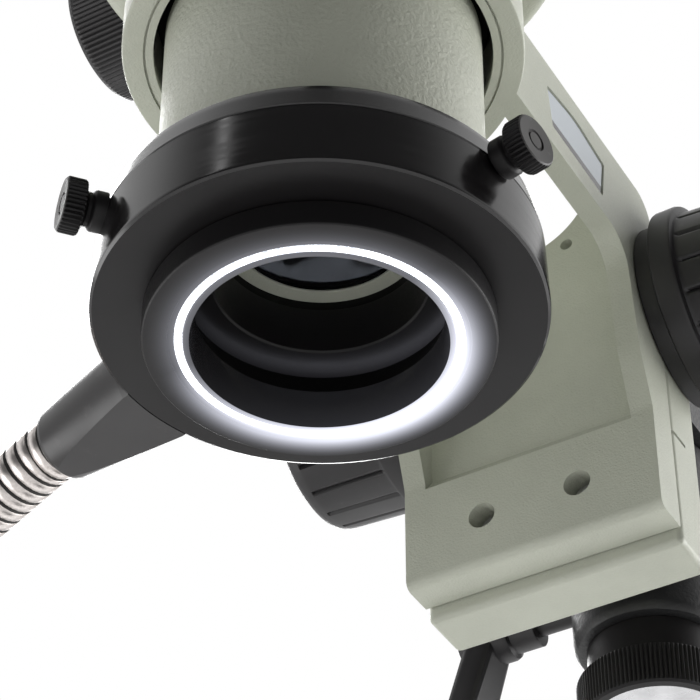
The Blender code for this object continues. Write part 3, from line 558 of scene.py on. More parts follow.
def fit(obj, node, body, smooth=30):
    """Puts a finished piece in place of a CAD node; smooth is an angle in degrees."""
    obj.data.shade_smooth()
    obj.data.set_sharp_from_angle(angle=math.radians(smooth))
    weighted = obj.modifiers.new("Weighted Normal", "WEIGHTED_NORMAL")
    weighted.keep_sharp = True
    weighted.weight = 80
    bake(obj)
    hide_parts(node)
    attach(obj, body)


def paint_faces(obj, material, test):
    """Gives another material to the faces that pass the test (centre in mm, normal)."""
    obj.data.materials.append(MATERIALS[material])
    index = len(obj.data.materials) - 1
    for face in obj.data.polygons:
        if test(face.center / MM, face.normal):
            face.material_index = index


def knurl(count, depth, low, high, least):
    """A ripple of straight knurls on the outer wall between two heights."""
    def ripple(angle, radius, height):
        if radius < least or not low <= height <= high:
            return radius
        wave = math.cos(count * angle)
        return radius - depth * (0.5 - 0.5 * wave) ** 1.5
    return ripple


def ribs(count, depth, groove, low, high, least):
    """A ripple of wide flat ribs with narrow rounded grooves between them."""
    def ripple(angle, radius, height):
        if radius < least or not low <= height <= high:
            return radius
        phase = (angle * count / (2 * math.pi)) % 1.0
        away = min(phase, 1 - phase) / (groove / 2)
        return radius if away >= 1 else radius - depth * math.cos(away * math.pi / 2)
    return ripple


# ---- camera, light, floor
def make_stage():
    """The camera, the lights and the plain floor."""
    scene = bpy.context.scene
    data = bpy.data.cameras.new("camera")
    data.lens = CAMERA_LENS
    data.sensor_width = CAMERA_SENSOR
    data.clip_start = 0.01
    data.clip_end = 20.0
    camera = bpy.data.objects.new("camera", data)
    scene.collection.objects.link(camera)
    camera.location = CAMERA_AT
    camera.rotation_euler = [math.radians(a) for a in CAMERA_TURN]
    scene.camera = camera

    world = bpy.data.worlds.new("studio")
    world.use_nodes = True
    light_the_world(world.node_tree)
    scene.world = world
    scene.view_settings.view_transform = "Standard"

    bpy.ops.mesh.primitive_plane_add(size=FLOOR_SIZE, location=(0, 0, FLOOR_Z))
    floor = bpy.context.object
    floor.name = "floor"
    floor.data.materials.append(MATERIALS["floor"])

    for name, place, aim, size, power in LIGHTS:
        lamp = bpy.data.lights.new(name, "AREA")
        lamp.shape = "RECTANGLE"
        lamp.size, lamp.size_y = size
        lamp.energy = power
        obj = bpy.data.objects.new(name, lamp)
        scene.collection.objects.link(obj)
        obj.location = place
        obj.rotation_euler = (Vector(aim) - Vector(place)).to_track_quat("-Z", "Y").to_euler()
        obj.visible_camera = False


def light_the_world(tree):
    """A white studio: bright behind and to the sides, dimmer where the viewer stands."""
    background = tree.nodes["Background"]
    nodes = tree.nodes
    coords = nodes.new("ShaderNodeTexCoord")
    facing = nodes.new("ShaderNodeVectorMath")
    facing.operation = "DOT_PRODUCT"
    facing.inputs[1].default_value = BRIGHT_SIDE
    tree.links.new(coords.outputs["Generated"], facing.inputs[0])
    shade = nodes.new("ShaderNodeMapRange")
    shade.interpolation_type = "SMOOTHSTEP"
    for key, value in (("From Min", -0.5), ("From Max", 0.15), ("To Min", FRONT_LIGHT),
                       ("To Max", BACK_LIGHT)):
        shade.inputs[key].default_value = value
    tree.links.new(facing.outputs["Value"], shade.inputs["Value"])
    path = nodes.new("ShaderNodeLightPath")
    seen = nodes.new("ShaderNodeMix")
    seen.inputs["B"].default_value = 1.0
    tree.links.new(path.outputs["Is Camera Ray"], seen.inputs["Factor"])
    tree.links.new(shade.outputs["Result"], seen.inputs["A"])
    tree.links.new(seen.outputs["Result"], background.inputs["Strength"])
    background.inputs["Color"].default_value = (1.0, 1.0, 1.0, 1.0)


# ---- light guide
def resampled(points, spacing):
    """The path through the points, at an even spacing, and its length."""
    lengths = [0.0]
    for a, b in zip(points, points[1:]):
        lengths.append(lengths[-1] + (b - a).length)
    count = max(2, round(lengths[-1] / spacing))
    route = []
    k = 0
    for i in range(count + 1):
        wanted = lengths[-1] * i / count
        while k < len(points) - 2 and lengths[k + 1] < wanted:
            k += 1
        share = (wanted - lengths[k]) / max(lengths[k + 1] - lengths[k], 1e-9)
        route.append(points[k].lerp(points[k + 1], min(1.0, share)))
    return route, lengths[-1]


def eased(t):
    """A smooth step from 0 to 1."""
    t = min(1.0, max(0.0, t))
    return t * t * (3 - 2 * t)


def guide_line():
    """The guide's middle line from the sleeve, down to its coil and out to the connector."""
    turn = math.radians(SLEEVE_ANGLE)
    droop = math.radians(GUIDE_DROOP)
    level = Vector((math.cos(turn), math.sin(turn), 0))
    sleeve_end = head(*SLEEVE_AT) + level * SLEEVE_LENGTH * MM
    start = sleeve_end + level * GUIDE_EXIT
    out = level * math.cos(droop) - Vector((0, 0, math.sin(droop)))

    top = (2 * COIL_LEVELS + 1) * GUIDE_R + GAP
    over_coil = Vector((COIL_CENTRE[0] - COIL_R, COIL_CENTRE[1], top))
    centre = over_coil + Vector((0, GUIDE_STRAIGHT, GUIDE_BEND_R))
    bend = []
    for k in range(1, BEND_STEPS + 1):
        angle = math.pi / 2 * k / BEND_STEPS
        bend.append(centre + GUIDE_BEND_R * Vector((0, math.cos(angle), -math.sin(angle))))
    bend_top = centre + Vector((0, GUIDE_BEND_R, 0))
    ease_out, ease_in = GUIDE_EASE
    fall = interpolate_bezier(start, start + out * ease_out,
                              bend_top + Vector((0, 0, ease_in)), bend_top, FALL_STEPS)
    coil = []
    for k in range(1, COIL_STEPS + 1):
        swept = 360.0 * COIL_LEVELS * k / COIL_STEPS
        turns, within = divmod(swept, 360.0)
        z = top - 2 * GUIDE_R * (turns + eased(within / TURN_DROP))
        angle = math.radians(180.0 + swept)
        x = COIL_CENTRE[0] + COIL_R * math.cos(angle)
        y = COIL_CENTRE[1] + COIL_R * math.sin(angle)
        coil.append(Vector((x, y, max(z, GUIDE_R + GAP))))
    last = coil[-1]
    tail = []
    for k in range(1, TAIL_STEPS + 1):
        tail.append(last + Vector((0, -TAIL_STEP * k, TAIL_RISE * eased(k / TAIL_STEPS))))
    tail.append(Vector((last.x, TAIL_END, last.z + TAIL_RISE)))
    first = sleeve_end + level * GAP
    return [first, *fall, *bend, over_coil, *coil, *tail]


def moving_frames(path):
    """Each point of a path with two directions across it that don't twist along it."""
    frames = []
    across = (path[1] - path[0]).orthogonal().normalized()
    for i, point in enumerate(path):
        ahead = (path[min(i + 1, len(path) - 1)] - path[max(i - 1, 0)]).normalized()
        across = (across - ahead * across.dot(ahead)).normalized()
        frames.append((point, across, ahead.cross(across)))
    return frames


def make_guide():
    """The metal-clad guide: a band wound in a spiral, with a narrow groove between turns that is
    painted dark as shade.
    """
    path, length = resampled(guide_line(), GUIDE_STEP)
    frames = moving_frames(path)
    step = length / (len(path) - 1)
    shape = bmesh.new()
    rings = []
    for turn in range(int(length / BAND_PITCH) + 3):
        for share, size in BAND:
            ring = []
            for k in range(GUIDE_SIDES):
                along = min(length, (turn - 1 + share + k / GUIDE_SIDES) * BAND_PITCH)
                place, rest = divmod(max(0.0, along) / step, 1.0)
                place = min(int(place), len(frames) - 2)
                here, ahead = frames[place:place + 2]
                point, side, other = (a.lerp(b, rest) for a, b in zip(here, ahead))
                angle = 2 * math.pi * k / GUIDE_SIDES
                out = side * math.cos(angle) + other * math.sin(angle)
                ring.append(shape.verts.new(point + out * GUIDE_R * size))
            rings.append(ring)
    for i, (a, b) in enumerate(zip(rings, rings[1:])):
        for k in range(GUIDE_SIDES):
            n = (k + 1) % GUIDE_SIDES
            # The last side meets the first side of the next turn.
            lifted = len(BAND) if n == 0 else 0
            if i + 1 + lifted >= len(rings):
                continue
            corners = (a[k], rings[i + lifted][n], rings[i + 1 + lifted][n], b[k])
            face = shape.faces.new(corners)
            # Faces in the grooves get the painted shade.
            face.material_index = int(i % len(BAND) in (0, 1, 4))
    bmesh.ops.remove_doubles(shape, verts=shape.verts, dist=0.002 * MM)
    bmesh.ops.holes_fill(shape, edges=[e for e in shape.edges if e.is_boundary])
    bmesh.ops.recalc_face_normals(shape, faces=shape.faces)
    guide = finished(shape, "metal_clad_guide", Matrix.Identity(4), "conduit")
    guide.data.materials.append(MATERIALS["groove_painted_shade"])
    guide.data.shade_smooth()
    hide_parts("light_guide", "light_guide_coil")
    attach(guide, "ring_light")
    route, _ = resampled(path, PATH_STEP)
    return guide, route, length, path[0]


def make_connector():
    """The metal ferrule that goes into a light source."""
    place = at((COIL_CENTRE[0] - COIL_R, TAIL_END - GAP, CONNECTOR_Z), ALONG_MINUS_Y)
    profile = [
        (0, 56), (4.6, 56), (5.2, 55.6), (5.9, 55), (6, 54), (6, 31), (5.6, 30.6), (6.6, 30),
        (7.5, 29), (7.5, 24.8), (8.8, 24.4), (9, 23.6), (9, 3.4), (8.8, 2.6), (8, 0), (0, 0),
    ]
    obj = lathe("source_ferrule", profile, place, "steel", 112,
                ripple=knurl(28, 0.35, 3.4, 23.6, 8.9))
    fit(obj, "source_connector", "ring_light", 38)


# ---- pieces of the microscope
def make_ring_light():
    """The ring light with its thumbscrews and guide sleeve."""
    profile = [
        (43.2, 22.0), (43.9, 21.8), (44.3, 21.3), (44.7, 19.5), (45.55, 15.55), (45.2, 15.3),
        (45.2, 15.1), (45.6, 14.85), (FLANGE_R, 1.0), (45.85, 0.35), (45.3, 0.0), (33.0, 0.0),
        (33.0, 9.0), (35.1, 9.0), (35.1, 21.6), (35.6, 22.0),
    ]
    body = lathe("ring_light_housing", profile, OPTICAL, "anodised", 192, closed=True)
    for i, angle in enumerate(SCREW_ANGLES, 1):
        line = at(head(0, 0, SCREW_Z), radial(angle))
        cut(body, rod(f"ring_thread_{i}", 2.3, 33, 50, line, segments=32))
    paint_faces(body, "anodised_face", lambda c, n: n.z < -0.9 and c.z < 1.0)
    fit(body, "ring_light_body", "ring_light")

    profile = [
        (32.7, 8.7), (32.7, -0.3), (35.0, -0.3), (35.3, -0.5), (35.3, -5.6), (35.15, -6.0),
        (34.9, -6.2), (30.3, -6.2), (30.1, -6.15), (29.95, -5.8), (28.9, -5.8), (28.8, -5.7),
        (28.8, -3.2), (27.1, -3.2), (27.1, -5.8), (26.9, -6.1), (26.5, -6.2), (25.8, -6.0),
        (25.3, 0.0), (25.2, 3.0), (25.6, 3.4), (27.5, 8.7),
    ]
    nose = lathe("ring_light_front", profile, OPTICAL, "nose_face_painted_glow", 192, closed=True)
    paint_faces(nose, "nose_bore_painted_glow", lambda c, n: c.xy.length < 28 and -5.9 < c.z < 2)
    # The inner cone above the bore gets painted shade.
    paint_faces(nose, "recess_painted_shade", lambda c, n: c.xy.length < 28 and c.z > 2)
    fit(nose, "ring_light_nose", "ring_light")

    profile = [(28.7, -3.5), (28.7, -5.9), (28.6, -6.05), (27.3, -6.05), (27.2, -5.9), (27.2, -3.5)]
    glow = lathe("lit_fibre_ring", profile, OPTICAL, "fibres", 192, closed=True)
    fit(glow, "fibre_ring", "ring_light", 38)

    profile = [
        (0, 54.9), (1.75, 54.9), (1.95, 54.6), (2.2, 54.6), (2.4, 54.95), (5.2, 55.1), (5.5, 54.9),
        (5.75, 54.5), (5.75, 51.3), (5.5, 50.9), (4.9, 50.7), (4.2, 50.6), (3.6, 50.1), (3.5, 49.4),
        (4.1, 48.9), (4.25, 48.6), (4.25, 46.4), (4.1, 46.2), (2.0, 46.1), (2.0, 34.9), (0, 34.9),
    ]
    for i, (angle, inset) in enumerate(zip(SCREW_ANGLES, (0.0, 0.0, 0.9)), 1):
        line = at(head(0, 0, SCREW_Z), radial(angle)) @ Matrix.Translation((0, 0, -inset * MM))
        screw = lathe(f"ring_thumbscrew_{i}", profile, line, "anodised_face", 216,
                      ripple=knurl(36, 0.42, 51.3, 54.5, 5.7))
        # The outer end faces get a paler black.
        paint_faces(screw, "paler_end_face", lambda c, n: c.z > 54.0 and n.z > 0.6)
        fit(screw, f"ring_light_screw_{i}", f"ring_screw_{i}")

    line = at(head(*SLEEVE_AT), radial(SLEEVE_ANGLE))
    end = SLEEVE_LENGTH
    profile = [
        (0, end), (6.9, end), (7.6, end - 0.15), (8.15, end - 0.7), (8.4, end - 1.5),
        (11.8, 0.4), (11.9, -6), (0, -6),
    ]
    sleeve = lathe("guide_cone", profile, line, "sleeve", 96)
    cut(sleeve, rod("sleeve_seat", FLANGE_R - 0.4, -10, 40, OPTICAL, segments=128))
    cut(sleeve, box("sleeve_flat", (-90, -30, -20), (-30, 50, 0.02)))
    fit(sleeve, "guide_sleeve", "ring_light", 5)


def make_barrel():
    """The barrel's lower end, with its lens and the ring that holds it."""
    profile = [
        (30.6, 108), (30.6, 101.5), (37.4, 101.5), (37.4, 90.5), (36.8, 90), (34.9, 90),
        (34.7, 89), (34.65, 80), (34.3, 22.4), (34.3, 11.4), (33.9, 11.0), (22.3, 11.0),
        (21.9, 11.4), (21.6, 22.4), (24.0, 22.4), (24.0, 36), (28.0, 42), (28.0, 108),
    ]
    barrel = lathe("objective_barrel", profile, OPTICAL, "crinkle", 160, closed=True)
    paint_faces(barrel, "anodised_face", lambda c, n: c.z < 100 and c.xy.length < 30)
    # The barrel's upper part, inside the holder bore, gets painted shade.
    paint_faces(barrel, "recess_painted_shade", lambda c, n: c.z > 78 and c.xy.length > 34)
    fit(barrel, "pod_barrel", "pod")

    profile = [
        (23.7, 27.0), (23.7, 22.7), (21.9, 22.7), (21.8, 22.9), (21.7, 24.6), (18.5, 24.6),
        (18.3, 24.8), (18.3, 27.0),
    ]
    ring = lathe("lens_ring", profile, OPTICAL, "enamel", 160, closed=True)
    # The lens ring's outer walls get painted shade.
    paint_faces(ring, "recess_painted_shade", lambda c, n: c.xy.length > 21.6)
    fit(ring, "lens_retaining_ring", "pod")

    profile = [(0, 34.6)]
    profile += [(23.7 * k / 12, 34.6 - 4.6 * (k / 12) ** 2) for k in range(1, 13)]
    profile += [(23.7, 27.3), (18.2, 27.3)]
    profile += [(18.1 * k / 10, 24.0 + 0.9 * (k / 10) ** 2) for k in range(10, 0, -1)]
    profile += [(0, 24.0)]
    lens = lathe("front_lens", profile, OPTICAL, "glass", 96)
    fit(lens, "objective_lens", "pod")


def make_arm():
    """The focusing arm with its badge and screws."""
    side = rounded_outline([
        (22, ARM_TOP, 0), (22, 75.6, 0), (84.6, 75.6, 9), (88.2, 45, 30), (ARM_FRONT, 31.5, 6),
        (ARM_FRONT, 3.5, 2.2), (ARM_BACK, 3.5, 0.6), (ARM_BACK, ARM_TOP, 7.5),
    ], 10)
    arm = extruded("arm_casting", side, -ARM_HALF, ARM_HALF, OPTICAL @ SIDE_ON, "enamel")
    inner = ARM_HALF - ARM_CHEEK
    window = [(10, 30), (92.6, 30), (96, 34), (96, 112), (10, 112)]
    cut(arm, extruded("arm_window", window, -inner, inner, OPTICAL @ SIDE_ON))
    soften(arm, 0.7, 3, 40)
    cut(arm, rod("web_notch", 20, 93, 106, at(head(0, 0, 114), ALONG_Y), segments=96))
    top = ARM_TOP - 0.02
    ring = [
        (0, top), (HOLDER_R - 1.2, top), (HOLDER_R - 0.35, top - 0.35),
        (HOLDER_R, top - 1.2), (HOLDER_R, 76.1), (HOLDER_R - 0.2, 75.7),
        (HOLDER_R - 0.6, 75.5), (0, 75.5),
    ]
    cut(arm, lathe("holder_ring", ring, OPTICAL, None, HOLDER_FACETS), "UNION")
    bore = [(0, 110), (38.0, 110), (38.0, 77.6), (37.0, 77.3), (37.0, 60), (0, 60)]
    cut(arm, lathe("holder_bore", bore, OPTICAL @ HALF_FACET, None, HOLDER_FACETS))
    groove = [(39.25, 76.2), (39.25, 74), (38.7, 74), (38.7, 76.2)]
    cut(arm, lathe("holder_groove", groove, OPTICAL, None, 128, closed=True))
    pocket = rounded_outline(BADGE, 6)
    cut(arm, extruded("badge_pocket", pocket, 31.0, 34.0, OPTICAL @ SIDE_ON))
    for i, x in enumerate(ARM_SCREW_X, 1):
        for z, radius in ((ARM_SCREW_Z, 3.35), (93, 1.6)):
            line = at(head(x, 0, z), ALONG_Y)
            cut(arm, rod(f"arm_hole_{i}", radius, 88, 104, line, segments=48))
    lock_line = at(head(0, 0, LOCK_Z), radial(LOCK_ANGLE))
    cut(arm, rod("lock_thread", 3.3, 30, 50, lock_line, segments=32))
    weld(arm)
    # The holder bore's inner lip gets painted shade.
    paint_faces(arm, "recess_painted_shade", lambda c, n: c.z > 77.4 and 37 < c.xy.length < 38.4
                and n.xy.dot(c.xy) < 0)
    fit(arm, "focus_arm", "arm")

    profile = [
        (0, 102.0), (3.0, 102.0), (3.0, 98.0), (2.6, 97.5), (1.6, 97.5), (1.5, 97.6),
        (1.5, 99.0), (0, 99.0),
    ]
    for i, x in enumerate(ARM_SCREW_X, 1):
        line = at(head(x, 0, ARM_SCREW_Z), ALONG_Y)
        fit(lathe(f"arm_socket_screw_{i}", profile, line, "steel", 48), f"arm_screw_{i}", "arm",
            38)
    plate = [(y + dy, z + dz, r) for (y, z, r), (dy, dz) in zip(BADGE, BADGE_CLEARANCE)]
    plate = rounded_outline(plate, 6)
    badge = extruded("blank_badge", plate, 31.05, 31.7, OPTICAL @ SIDE_ON, "badge")
    soften(badge, 0.3)
    fit(badge, "arm_badge", "arm", 38)

    profile = [
        (0, 61.6), (6.4, 61.6), (7.0, 62), (7.8, 61.6), (8.2, 60.6), (8.2, 54.4), (7.9, 53.6),
        (7.2, 53), (4.4, 52.6), (4.4, 44.8), (4.2, 44.6), (3.0, 44.6), (3.0, 37.8), (0, 37.8),
    ]
    lock = lathe("head_lock_screw", profile, lock_line, "anodised_face", 216,
                 ripple=knurl(36, 0.5, 54.4, 60.6, 8.1))
    fit(lock, "pod_lock_screw", "pod_lock")


def make_focus():
    """The focusing block with its tension discs and knobs."""
    block = box("focus_housing", (-ARM_HALF, 102.6, 0), (ARM_HALF, BLOCK_BACK, BLOCK_TOP), None,
                "enamel")
    soften(block, 1.6, 4)
    cut(block, box("block_relief", (-40, 100, 31.6), (40, 103.2, 100)))
    cut(block, box("block_slit", (-40, 100, 31.0), (40, 110, 32.0)))
    groove = [(-15.4, 101), (15.4, 101), (15.4, 102.6), (18.1, 107.2), (-18.1, 107.2),
              (-15.4, 102.6)]
    cut(block, extruded("dovetail_groove", groove, 5, 110, OPTICAL))
    weld(block)
    fit(block, "focus_block", "carrier")

    ring = [
        (22.2, 36.5), (22.7, 36.2), (22.8, 35.7), (22.8, 32.7), (22.5, 32.3), (4.0, 32.3),
        (4.0, 36.5),
    ]
    body = [
        (0, 66.6), (13.5, 66.6), (14.6, 67.3), (15.6, 67.9), (17.5, 68.2), (19.6, 67.8),
        (21.2, 66.8), (22.0, 65.4), (22.2, 64.0), (22.25, 63.6), (22.3, 62.6), (23.3, 44.2),
        (23.35, 43.4), (23.6, 43.0), (24.4, 42.9), (25.1, 42.6), (25.4, 41.9), (25.4, 37.7),
        (25.2, 37.1), (24.7, 36.8), (3.9, 36.8), (3.9, 48.4), (0, 48.4),
    ]
    for word, turn in BOTH_SIDES:
        place = at(head(0, PINION_Y, PINION_Z), turn)
        fit(lathe(f"tension_disc_{word}", ring, place, "plastic", 128, closed=True),
            f"tension_ring_{word}", "carrier")
        knob = lathe(f"focus_wheel_{word}", body, place, "plastic", 360,
                     ripple=ribs(18, 0.9, 0.13, 43.9, 63.7, 22.2))
        fit(knob, f"focus_knob_{word}", "focus_drive")


def make_pivot():
    """The boom's end casting, its knob and the clamp lever."""
    pivot = at(head(0, SWIVEL_Y, 0))
    post = [
        (0, 68), (17.6, 68), (18.5, 67.7), (18.8, 66.8), (18.8, 16.4), (18.5, 14.9), (17.8, 13.9),
        (16.6, 13.5), (0, 13.5),
    ]
    casting = lathe("pivot_casting", post, pivot, "cast_black", 128)
    line = at(head(0, SWIVEL_Y, BOOM_Z), ALONG_Y)
    socket = [(0, 66), (17.6, 66), (18.9, 65.6), (19.2, 64.3), (19.2, 0), (0, 0)]
    cut(casting, lathe("pivot_socket", socket, line, None, 128), "UNION")
    cut(casting, rod("pivot_bar_bore", 14.3, 18.5, 80, line, segments=96))
    cut(casting, rod("pivot_pin_bore", 12.3, 0, 80, pivot, segments=96))
    weld(casting)
    fit(casting, "boom_end_casting", "boom")

    profile = [
        (0, -2.7), (6.3, -2.7), (6.3, 13.2), (15.8, 13.2), (15.8, 5.0), (16.4, 4.5), (18.0, 4.1),
        (18.6, 3.8), (18.9, 3.2), (18.9, -5.4), (18.6, -6.2), (18.0, -6.7), (16.2, -6.8),
        (15.9, -6.6), (0, -6.6),
    ]
    knob = lathe("pivot_retaining_knob", profile, pivot, "anodised_face", 660,
                 ripple=knurl(110, 0.42, -5.4, 3.2, 18.85))
    paint_faces(knob, "steel", lambda c, n: c.z < -6.0 and c.xy.length < 15.9)
    fit(knob, "retaining_knob", "retainer")

    line = at(head(0, SWIVEL_Y, LEVER_Z), ALONG_MINUS_X)
    profile = [
        (0, 51), (3.9, 51), (4.8, 50.6), (5.5, 49.5), (6.4, 44), (6.4, 38), (6.0, 37), (5.0, 36.5),
        (5.0, 29.8), (4.7, 29.5), (2.6, 29.5), (2.6, 12.4), (0, 12.4),
    ]
    lever = lathe("clamp_lever", profile, line, "plastic", 64)
    outline = rounded_outline([(-5.5, 2, 0), (5.5, 2, 0), (7.2, -58, 6), (-7.2, -58, 6)], 8)
    lean = Matrix.Rotation(math.radians(18), 4, "Y")
    grip = extruded("lever_grip", outline, -4.2, 4.2,
                    at(head(-43.5, SWIVEL_Y, LEVER_Z)) @ lean @ SIDE_ON)
    soften(grip, 1.8, 2)
    cut(lever, grip, "UNION")
    weld(lever)
    fit(lever, "swivel_lever", "lever")


def make_pod():
    """The head's body with its sloping cover and the two zoom knobs."""
    shell = [
        (POD_R, POD_TOP), (POD_R, 121.8), (56.2, 120.4), (55.4, 119.3), (54.0, 118.6),
        (52.5, 118.4), (44.8, 117.6), (43.6, 117.0), (43.2, 116), (43.2, 101.8), (31.0, 101.8),
        (31.0, 106), (39.5, 106), (39.5, 120.5), (53.0, 122.5), (53.0, POD_TOP),
    ]
    housing = lathe("zoom_body", shell, OPTICAL, "enamel", 160, closed=True)
    cut(housing, rod("zoom_shaft_hole", 3.4, -60, 60, at(head(0, ZOOM_Y, ZOOM_Z), ALONG_X),
                     segments=32))
    fit(housing, "pod_housing", "pod")

    foot = POD_TOP + 0.3
    wedge = rounded_outline([
        (-60, foot, 0), (60, foot, 0), (60, 214, 0), (19.9, 214, 8), (-25.8, foot + 3, 0),
        (-60, foot + 3, 0),
    ], 8)
    cover = extruded("head_cover", wedge, -60, 60, OPTICAL @ SIDE_ON, "enamel")
    cut(cover, rod("cover_round", POD_R, 160, 230, OPTICAL, segments=160), "INTERSECT")
    soften(cover, 1.5, 3, 50)
    fit(cover, "pod_cover", "pod")

    profile = [
        (0, 72.4), (12.4, 72.4), (13.4, 73.0), (16.0, 73.4), (17.2, 73.0), (17.9, 72.0),
        (18.1, 71.0), (18.1, 59.8), (17.8, 58.8), (17.0, 58.2), (3.4, 58.0), (3.4, 66.3),
        (0, 66.3),
    ]
    for word, turn in BOTH_SIDES:
        place = at(head(0, ZOOM_Y, ZOOM_Z), turn)
        knob = lathe(f"zoom_wheel_{word}", profile, place, "plastic", 540,
                     ripple=knurl(90, 0.4, 59.8, 71.0, 18.05))
        fit(knob, f"zoom_knob_{word}", "zoom_drive")


def make_ocular(side, word):
    """One prism housing with its tube, eyepiece and eyecup."""
    place = at(head(side * DRUM_X, *DRUM_AT), Matrix.Rotation(math.radians(TUBE_LEAN), 4, "X"))
    tube_x, tube_y = side * TUBE_OFFSET[0], TUBE_OFFSET[1]
    tube_place = place @ Matrix.Translation((tube_x * MM, tube_y * MM, 0))
    profile = [(0, 16), (22, 16), (22, 1.3), (21.2, 0.5), (0, 0.5)]
    drum = lathe(f"ocular_drum_{word}", profile, place, "enamel", 112)
    outline = rounded_outline([
        (tube_x - 20, -20, 16), (tube_x + 20, -20, 16), (tube_x + 20, tube_y + 20.5, 16),
        (tube_x - 20, tube_y + 20.5, 16),
    ], 12)
    case = extruded(f"ocular_case_{word}", outline, 14, 36, place)
    soften(case, 2.4, 3)
    cut(drum, case, "UNION")
    tube = [(0, 62), (17.0, 62), (17.5, 61.5), (17.5, 34), (0, 34)]
    cut(drum, lathe(f"ocular_tube_{word}", tube, tube_place, None, 112), "UNION")
    cut(drum, rod(f"ocular_bore_{word}", 15.3, 40, 70, tube_place, segments=96))
    weld(drum)
    fit(drum, f"prism_housing_{word}", f"ocular_{word}")

    profile = [
        (0, 80.5), (11.5, 80.5), (12.5, 82), (17.4, 82), (18.4, 81.6), (18.8, 80.8), (18.8, 76.9),
        (19.1, 76.3), (20.0, 75.8), (20.2, 75.3), (20.2, 65.9), (19.9, 65.2), (19.4, 64.4),
        (18, 62.4), (14.9, 62.4), (14.9, 44), (0, 44),
    ]
    eyepiece = lathe(f"ocular_lens_barrel_{word}", profile, tube_place, "plastic", 240,
                     ripple=knurl(48, 0.45, 65.9, 75.3, 20.1))
    paint_faces(eyepiece, "glass", lambda c, n: c.z > 80.0 and c.xy.length < 11.5 and n.z > 0.9)
    fit(eyepiece, f"eyepiece_{word}", f"dioptre_{word}")

    profile = [
        (18.4, 95.5), (18.9, 95.2), (19.2, 94.5), (19.4, 90.4), (19.1, 90.1), (19.5, 89.6),
        (19.8, 82.6), (19.6, 82.3), (13.0, 82.3), (13.2, 86), (16.5, 95), (17.4, 95.5),
    ]
    cup = lathe(f"rubber_eyecup_{word}", profile, tube_place, "rubber", 112, closed=True)
    fit(cup, f"eyecup_{word}", f"dioptre_{word}")


def base_outline(inset):
    """The base's rounded outline, drawn in by this much."""
    half_width = BASE_SIZE[0] / 2 - inset
    half_depth = BASE_SIZE[1] / 2 - inset
    signs = ((-1, -1), (1, -1), (1, 1), (-1, 1))
    return rounded_outline([(x * half_width, y * half_depth, 32 - inset) for x, y in signs], 12)


def make_stand():
    """The base, its rubber mat and the column."""
    place = at((0, BASE_Y, 0))
    base = extruded("cast_base", base_outline(0), 1.8, BASE_SIZE[2], place, "cast_black")
    soften(base, 3.0, 4, 60)
    fit(base, "base_plate", "stand")
    mat = extruded("rubber_mat", base_outline(4), 0, 1.5, place, "rubber")
    fit(mat, "base_mat", "stand", 38)

    foot = at((COLUMN_X, 0, 0))
    height = BASE_SIZE[2]
    top = COLUMN_TOP
    profile = [
        (16.0, top - 0.3), (15.7, top), (13.0, top), (13.0, height + 0.3), (16.0, height + 0.3),
    ]
    fit(lathe("chrome_column", profile[::-1], foot, "chrome", 112, closed=True), "column",
        "stand")
    profile = [
        (21.5, height + 42), (22.8, height + 41.6), (23.5, height + 40.4), (24.5, height + 17),
        (25.6, height + 14.6), (30, height + 12.5), (40.6, height + 11), (42.4, height + 10.4),
        (43, height + 9), (43, height + 0.3), (16.3, height + 0.3), (16.3, height + 42),
    ]
    fit(lathe("column_foot", profile, foot, "cast_black", 128, closed=True), "column_flange",
        "stand")
    profile = [
        (0, top + 4), (11, top + 4), (14, top + 3.4), (15.4, top + 2.2), (15.9, top + 0.3),
        (12.6, top + 0.3), (12.4, top - 12), (0, top - 12),
    ]
    fit(lathe("column_plug", profile, foot, "plastic", 96), "column_cap", "stand")


def hand_knob(name, place, node, body):
    """A six-lobed clamp knob on a steel stud."""
    profile = [
        (0, 46.2), (7.0, 46.2), (8.0, 47.0), (12.0, 46.4), (14.4, 44.8), (15.4, 42.6),
        (15.5, 41), (15.5, 31), (15.0, 29.2), (13.4, 28.2), (9, 27.6), (8.4, 26), (8, 18.8),
        (7.7, 18.5), (3.9, 18.5), (3.9, 0.4), (3.5, 0), (0, 0),
    ]

    def lobes(angle, radius, height):
        if radius < 12.5 or height < 28:
            return radius
        return radius - 2.4 * (0.5 - 0.5 * math.cos(6 * angle)) ** 2

    knob = lathe(name, profile, place, "plastic", 144, ripple=lobes)
    paint_faces(knob, "steel", lambda c, n: c.z < 18.4 and c.xy.length < 4.2)
    fit(knob, node, body)


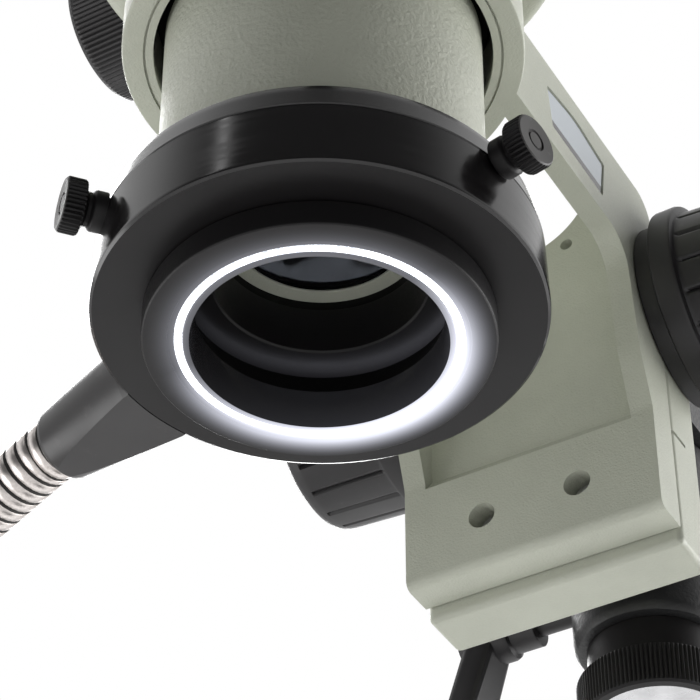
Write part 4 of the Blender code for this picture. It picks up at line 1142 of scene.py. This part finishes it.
def make_clamps():
    """The collar, the cross clamp and the boom bar."""
    low = HEAD_Z / MM + BOOM_Z - 26.3 - 19  # the collar is 19 tall, close under the clamp
    foot = at((COLUMN_X, 0, 0))
    ring = [
        (28.2, low + 19), (28.8, low + 18.7), (29, low + 18), (29, low + 1), (28.8, low + 0.3),
        (28.2, low), (16.6, low), (16.3, low + 0.4), (16.3, low + 18.6), (16.6, low + 19),
    ]
    collar = lathe("stop_collar", ring, foot, "cast_black", 128, closed=True)
    line = at((COLUMN_X, 0, (low + 9.5) * MM), radial(-90))
    cut(collar, rod("collar_thread", 3.3, 10, 40, line, segments=32))
    fit(collar, "safety_collar", "collar")
    profile = [
        (0, 49.6), (7.0, 49.6), (8, 50), (9.1, 49.5), (9.5, 48.5), (9.5, 40.4), (9.2, 39.2),
        (8.5, 38.5), (5, 38), (5, 29.9), (4.7, 29.6), (3, 29.6), (3, 16.3), (0, 16.3),
    ]
    screw = lathe("collar_thumbscrew", profile, line, "anodised_face", 216,
                  ripple=knurl(36, 0.5, 40.4, 48.5, 9.4))
    fit(screw, "collar_screw", "collar_screw")

    centre = Vector((0, 0, HEAD_Z + BOOM_Z * MM))
    beside = centre + Vector((COLUMN_X, 0, 0))
    clamp = box("cross_clamp_block", (-25, -30, -26), (COLUMN_X / MM + 26, 30, 26), at(centre),
                "cast_black")
    soften(clamp, 7, 5)
    cut(clamp, rod("clamp_column_bore", 16.3, -30, 30, at(beside), segments=96))
    cut(clamp, rod("clamp_boom_bore", 14.3, -40, 40, at(centre, ALONG_Y), segments=96))
    right = at(beside + Vector((16.4 * MM, 0, 0)), ALONG_X)
    left = at(centre - Vector((14.4 * MM, 0, 0)), ALONG_MINUS_X)
    for i, line in enumerate((right, left)):
        cut(clamp, rod(f"knob_thread_{i}", 4.2, -2, 20, line, segments=40))
    weld(clamp)
    fit(clamp, "cross_clamp", "clamp")
    hand_knob("column_hand_knob", right, "column_clamp_knob", "column_knob")
    hand_knob("boom_hand_knob", left, "boom_clamp_knob", "boom_knob")

    start = SWIVEL_Y + 19.0
    end = start + BOOM_LENGTH
    line = at(head(0, 0, BOOM_Z), ALONG_Y)
    profile = [(14.0, end), (14.0, start), (11.0, start), (11.0, end)]
    fit(lathe("chrome_boom", profile, line, "chrome", 112, closed=True), "boom_bar", "boom")
    profile = [
        (0, end + 5), (9, end + 5), (12.2, end + 4.5), (13.5, end + 3.4), (14, end + 0.3),
        (10.7, end + 0.3), (10.5, end - 12), (0, end - 12),
    ]
    fit(lathe("boom_plug", profile, line, "plastic", 96), "boom_rear_cap", "boom")


KEPT_NODES = {
    "cast_black": ("swivel_bracket",),
    "steel": ("swivel_pin", "bracket_screw_1", "bracket_screw_2", "dovetail_slide",
              "pinion_shaft", "zoom_shaft"),
    "brass": ("focus_rack", "zoom_lens_lower", "zoom_lens_upper"),
    "glass": ("prism_left", "prism_right"),
}


def dress_kept_nodes():
    """Gives the CAD pieces that stay a detailed material."""
    for material, names in KEPT_NODES.items():
        for name in names:
            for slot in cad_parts[name].material_slots:
                slot.material = MATERIALS[material]


# ---- assembly
make_stage()
guide, guide_path, guide_length, guide_exit = make_guide()
make_connector()
make_ring_light()
make_barrel()
make_arm()
make_focus()
make_pivot()
make_pod()
make_ocular(-1, "left")
make_ocular(1, "right")
make_stand()
make_clamps()
dress_kept_nodes()
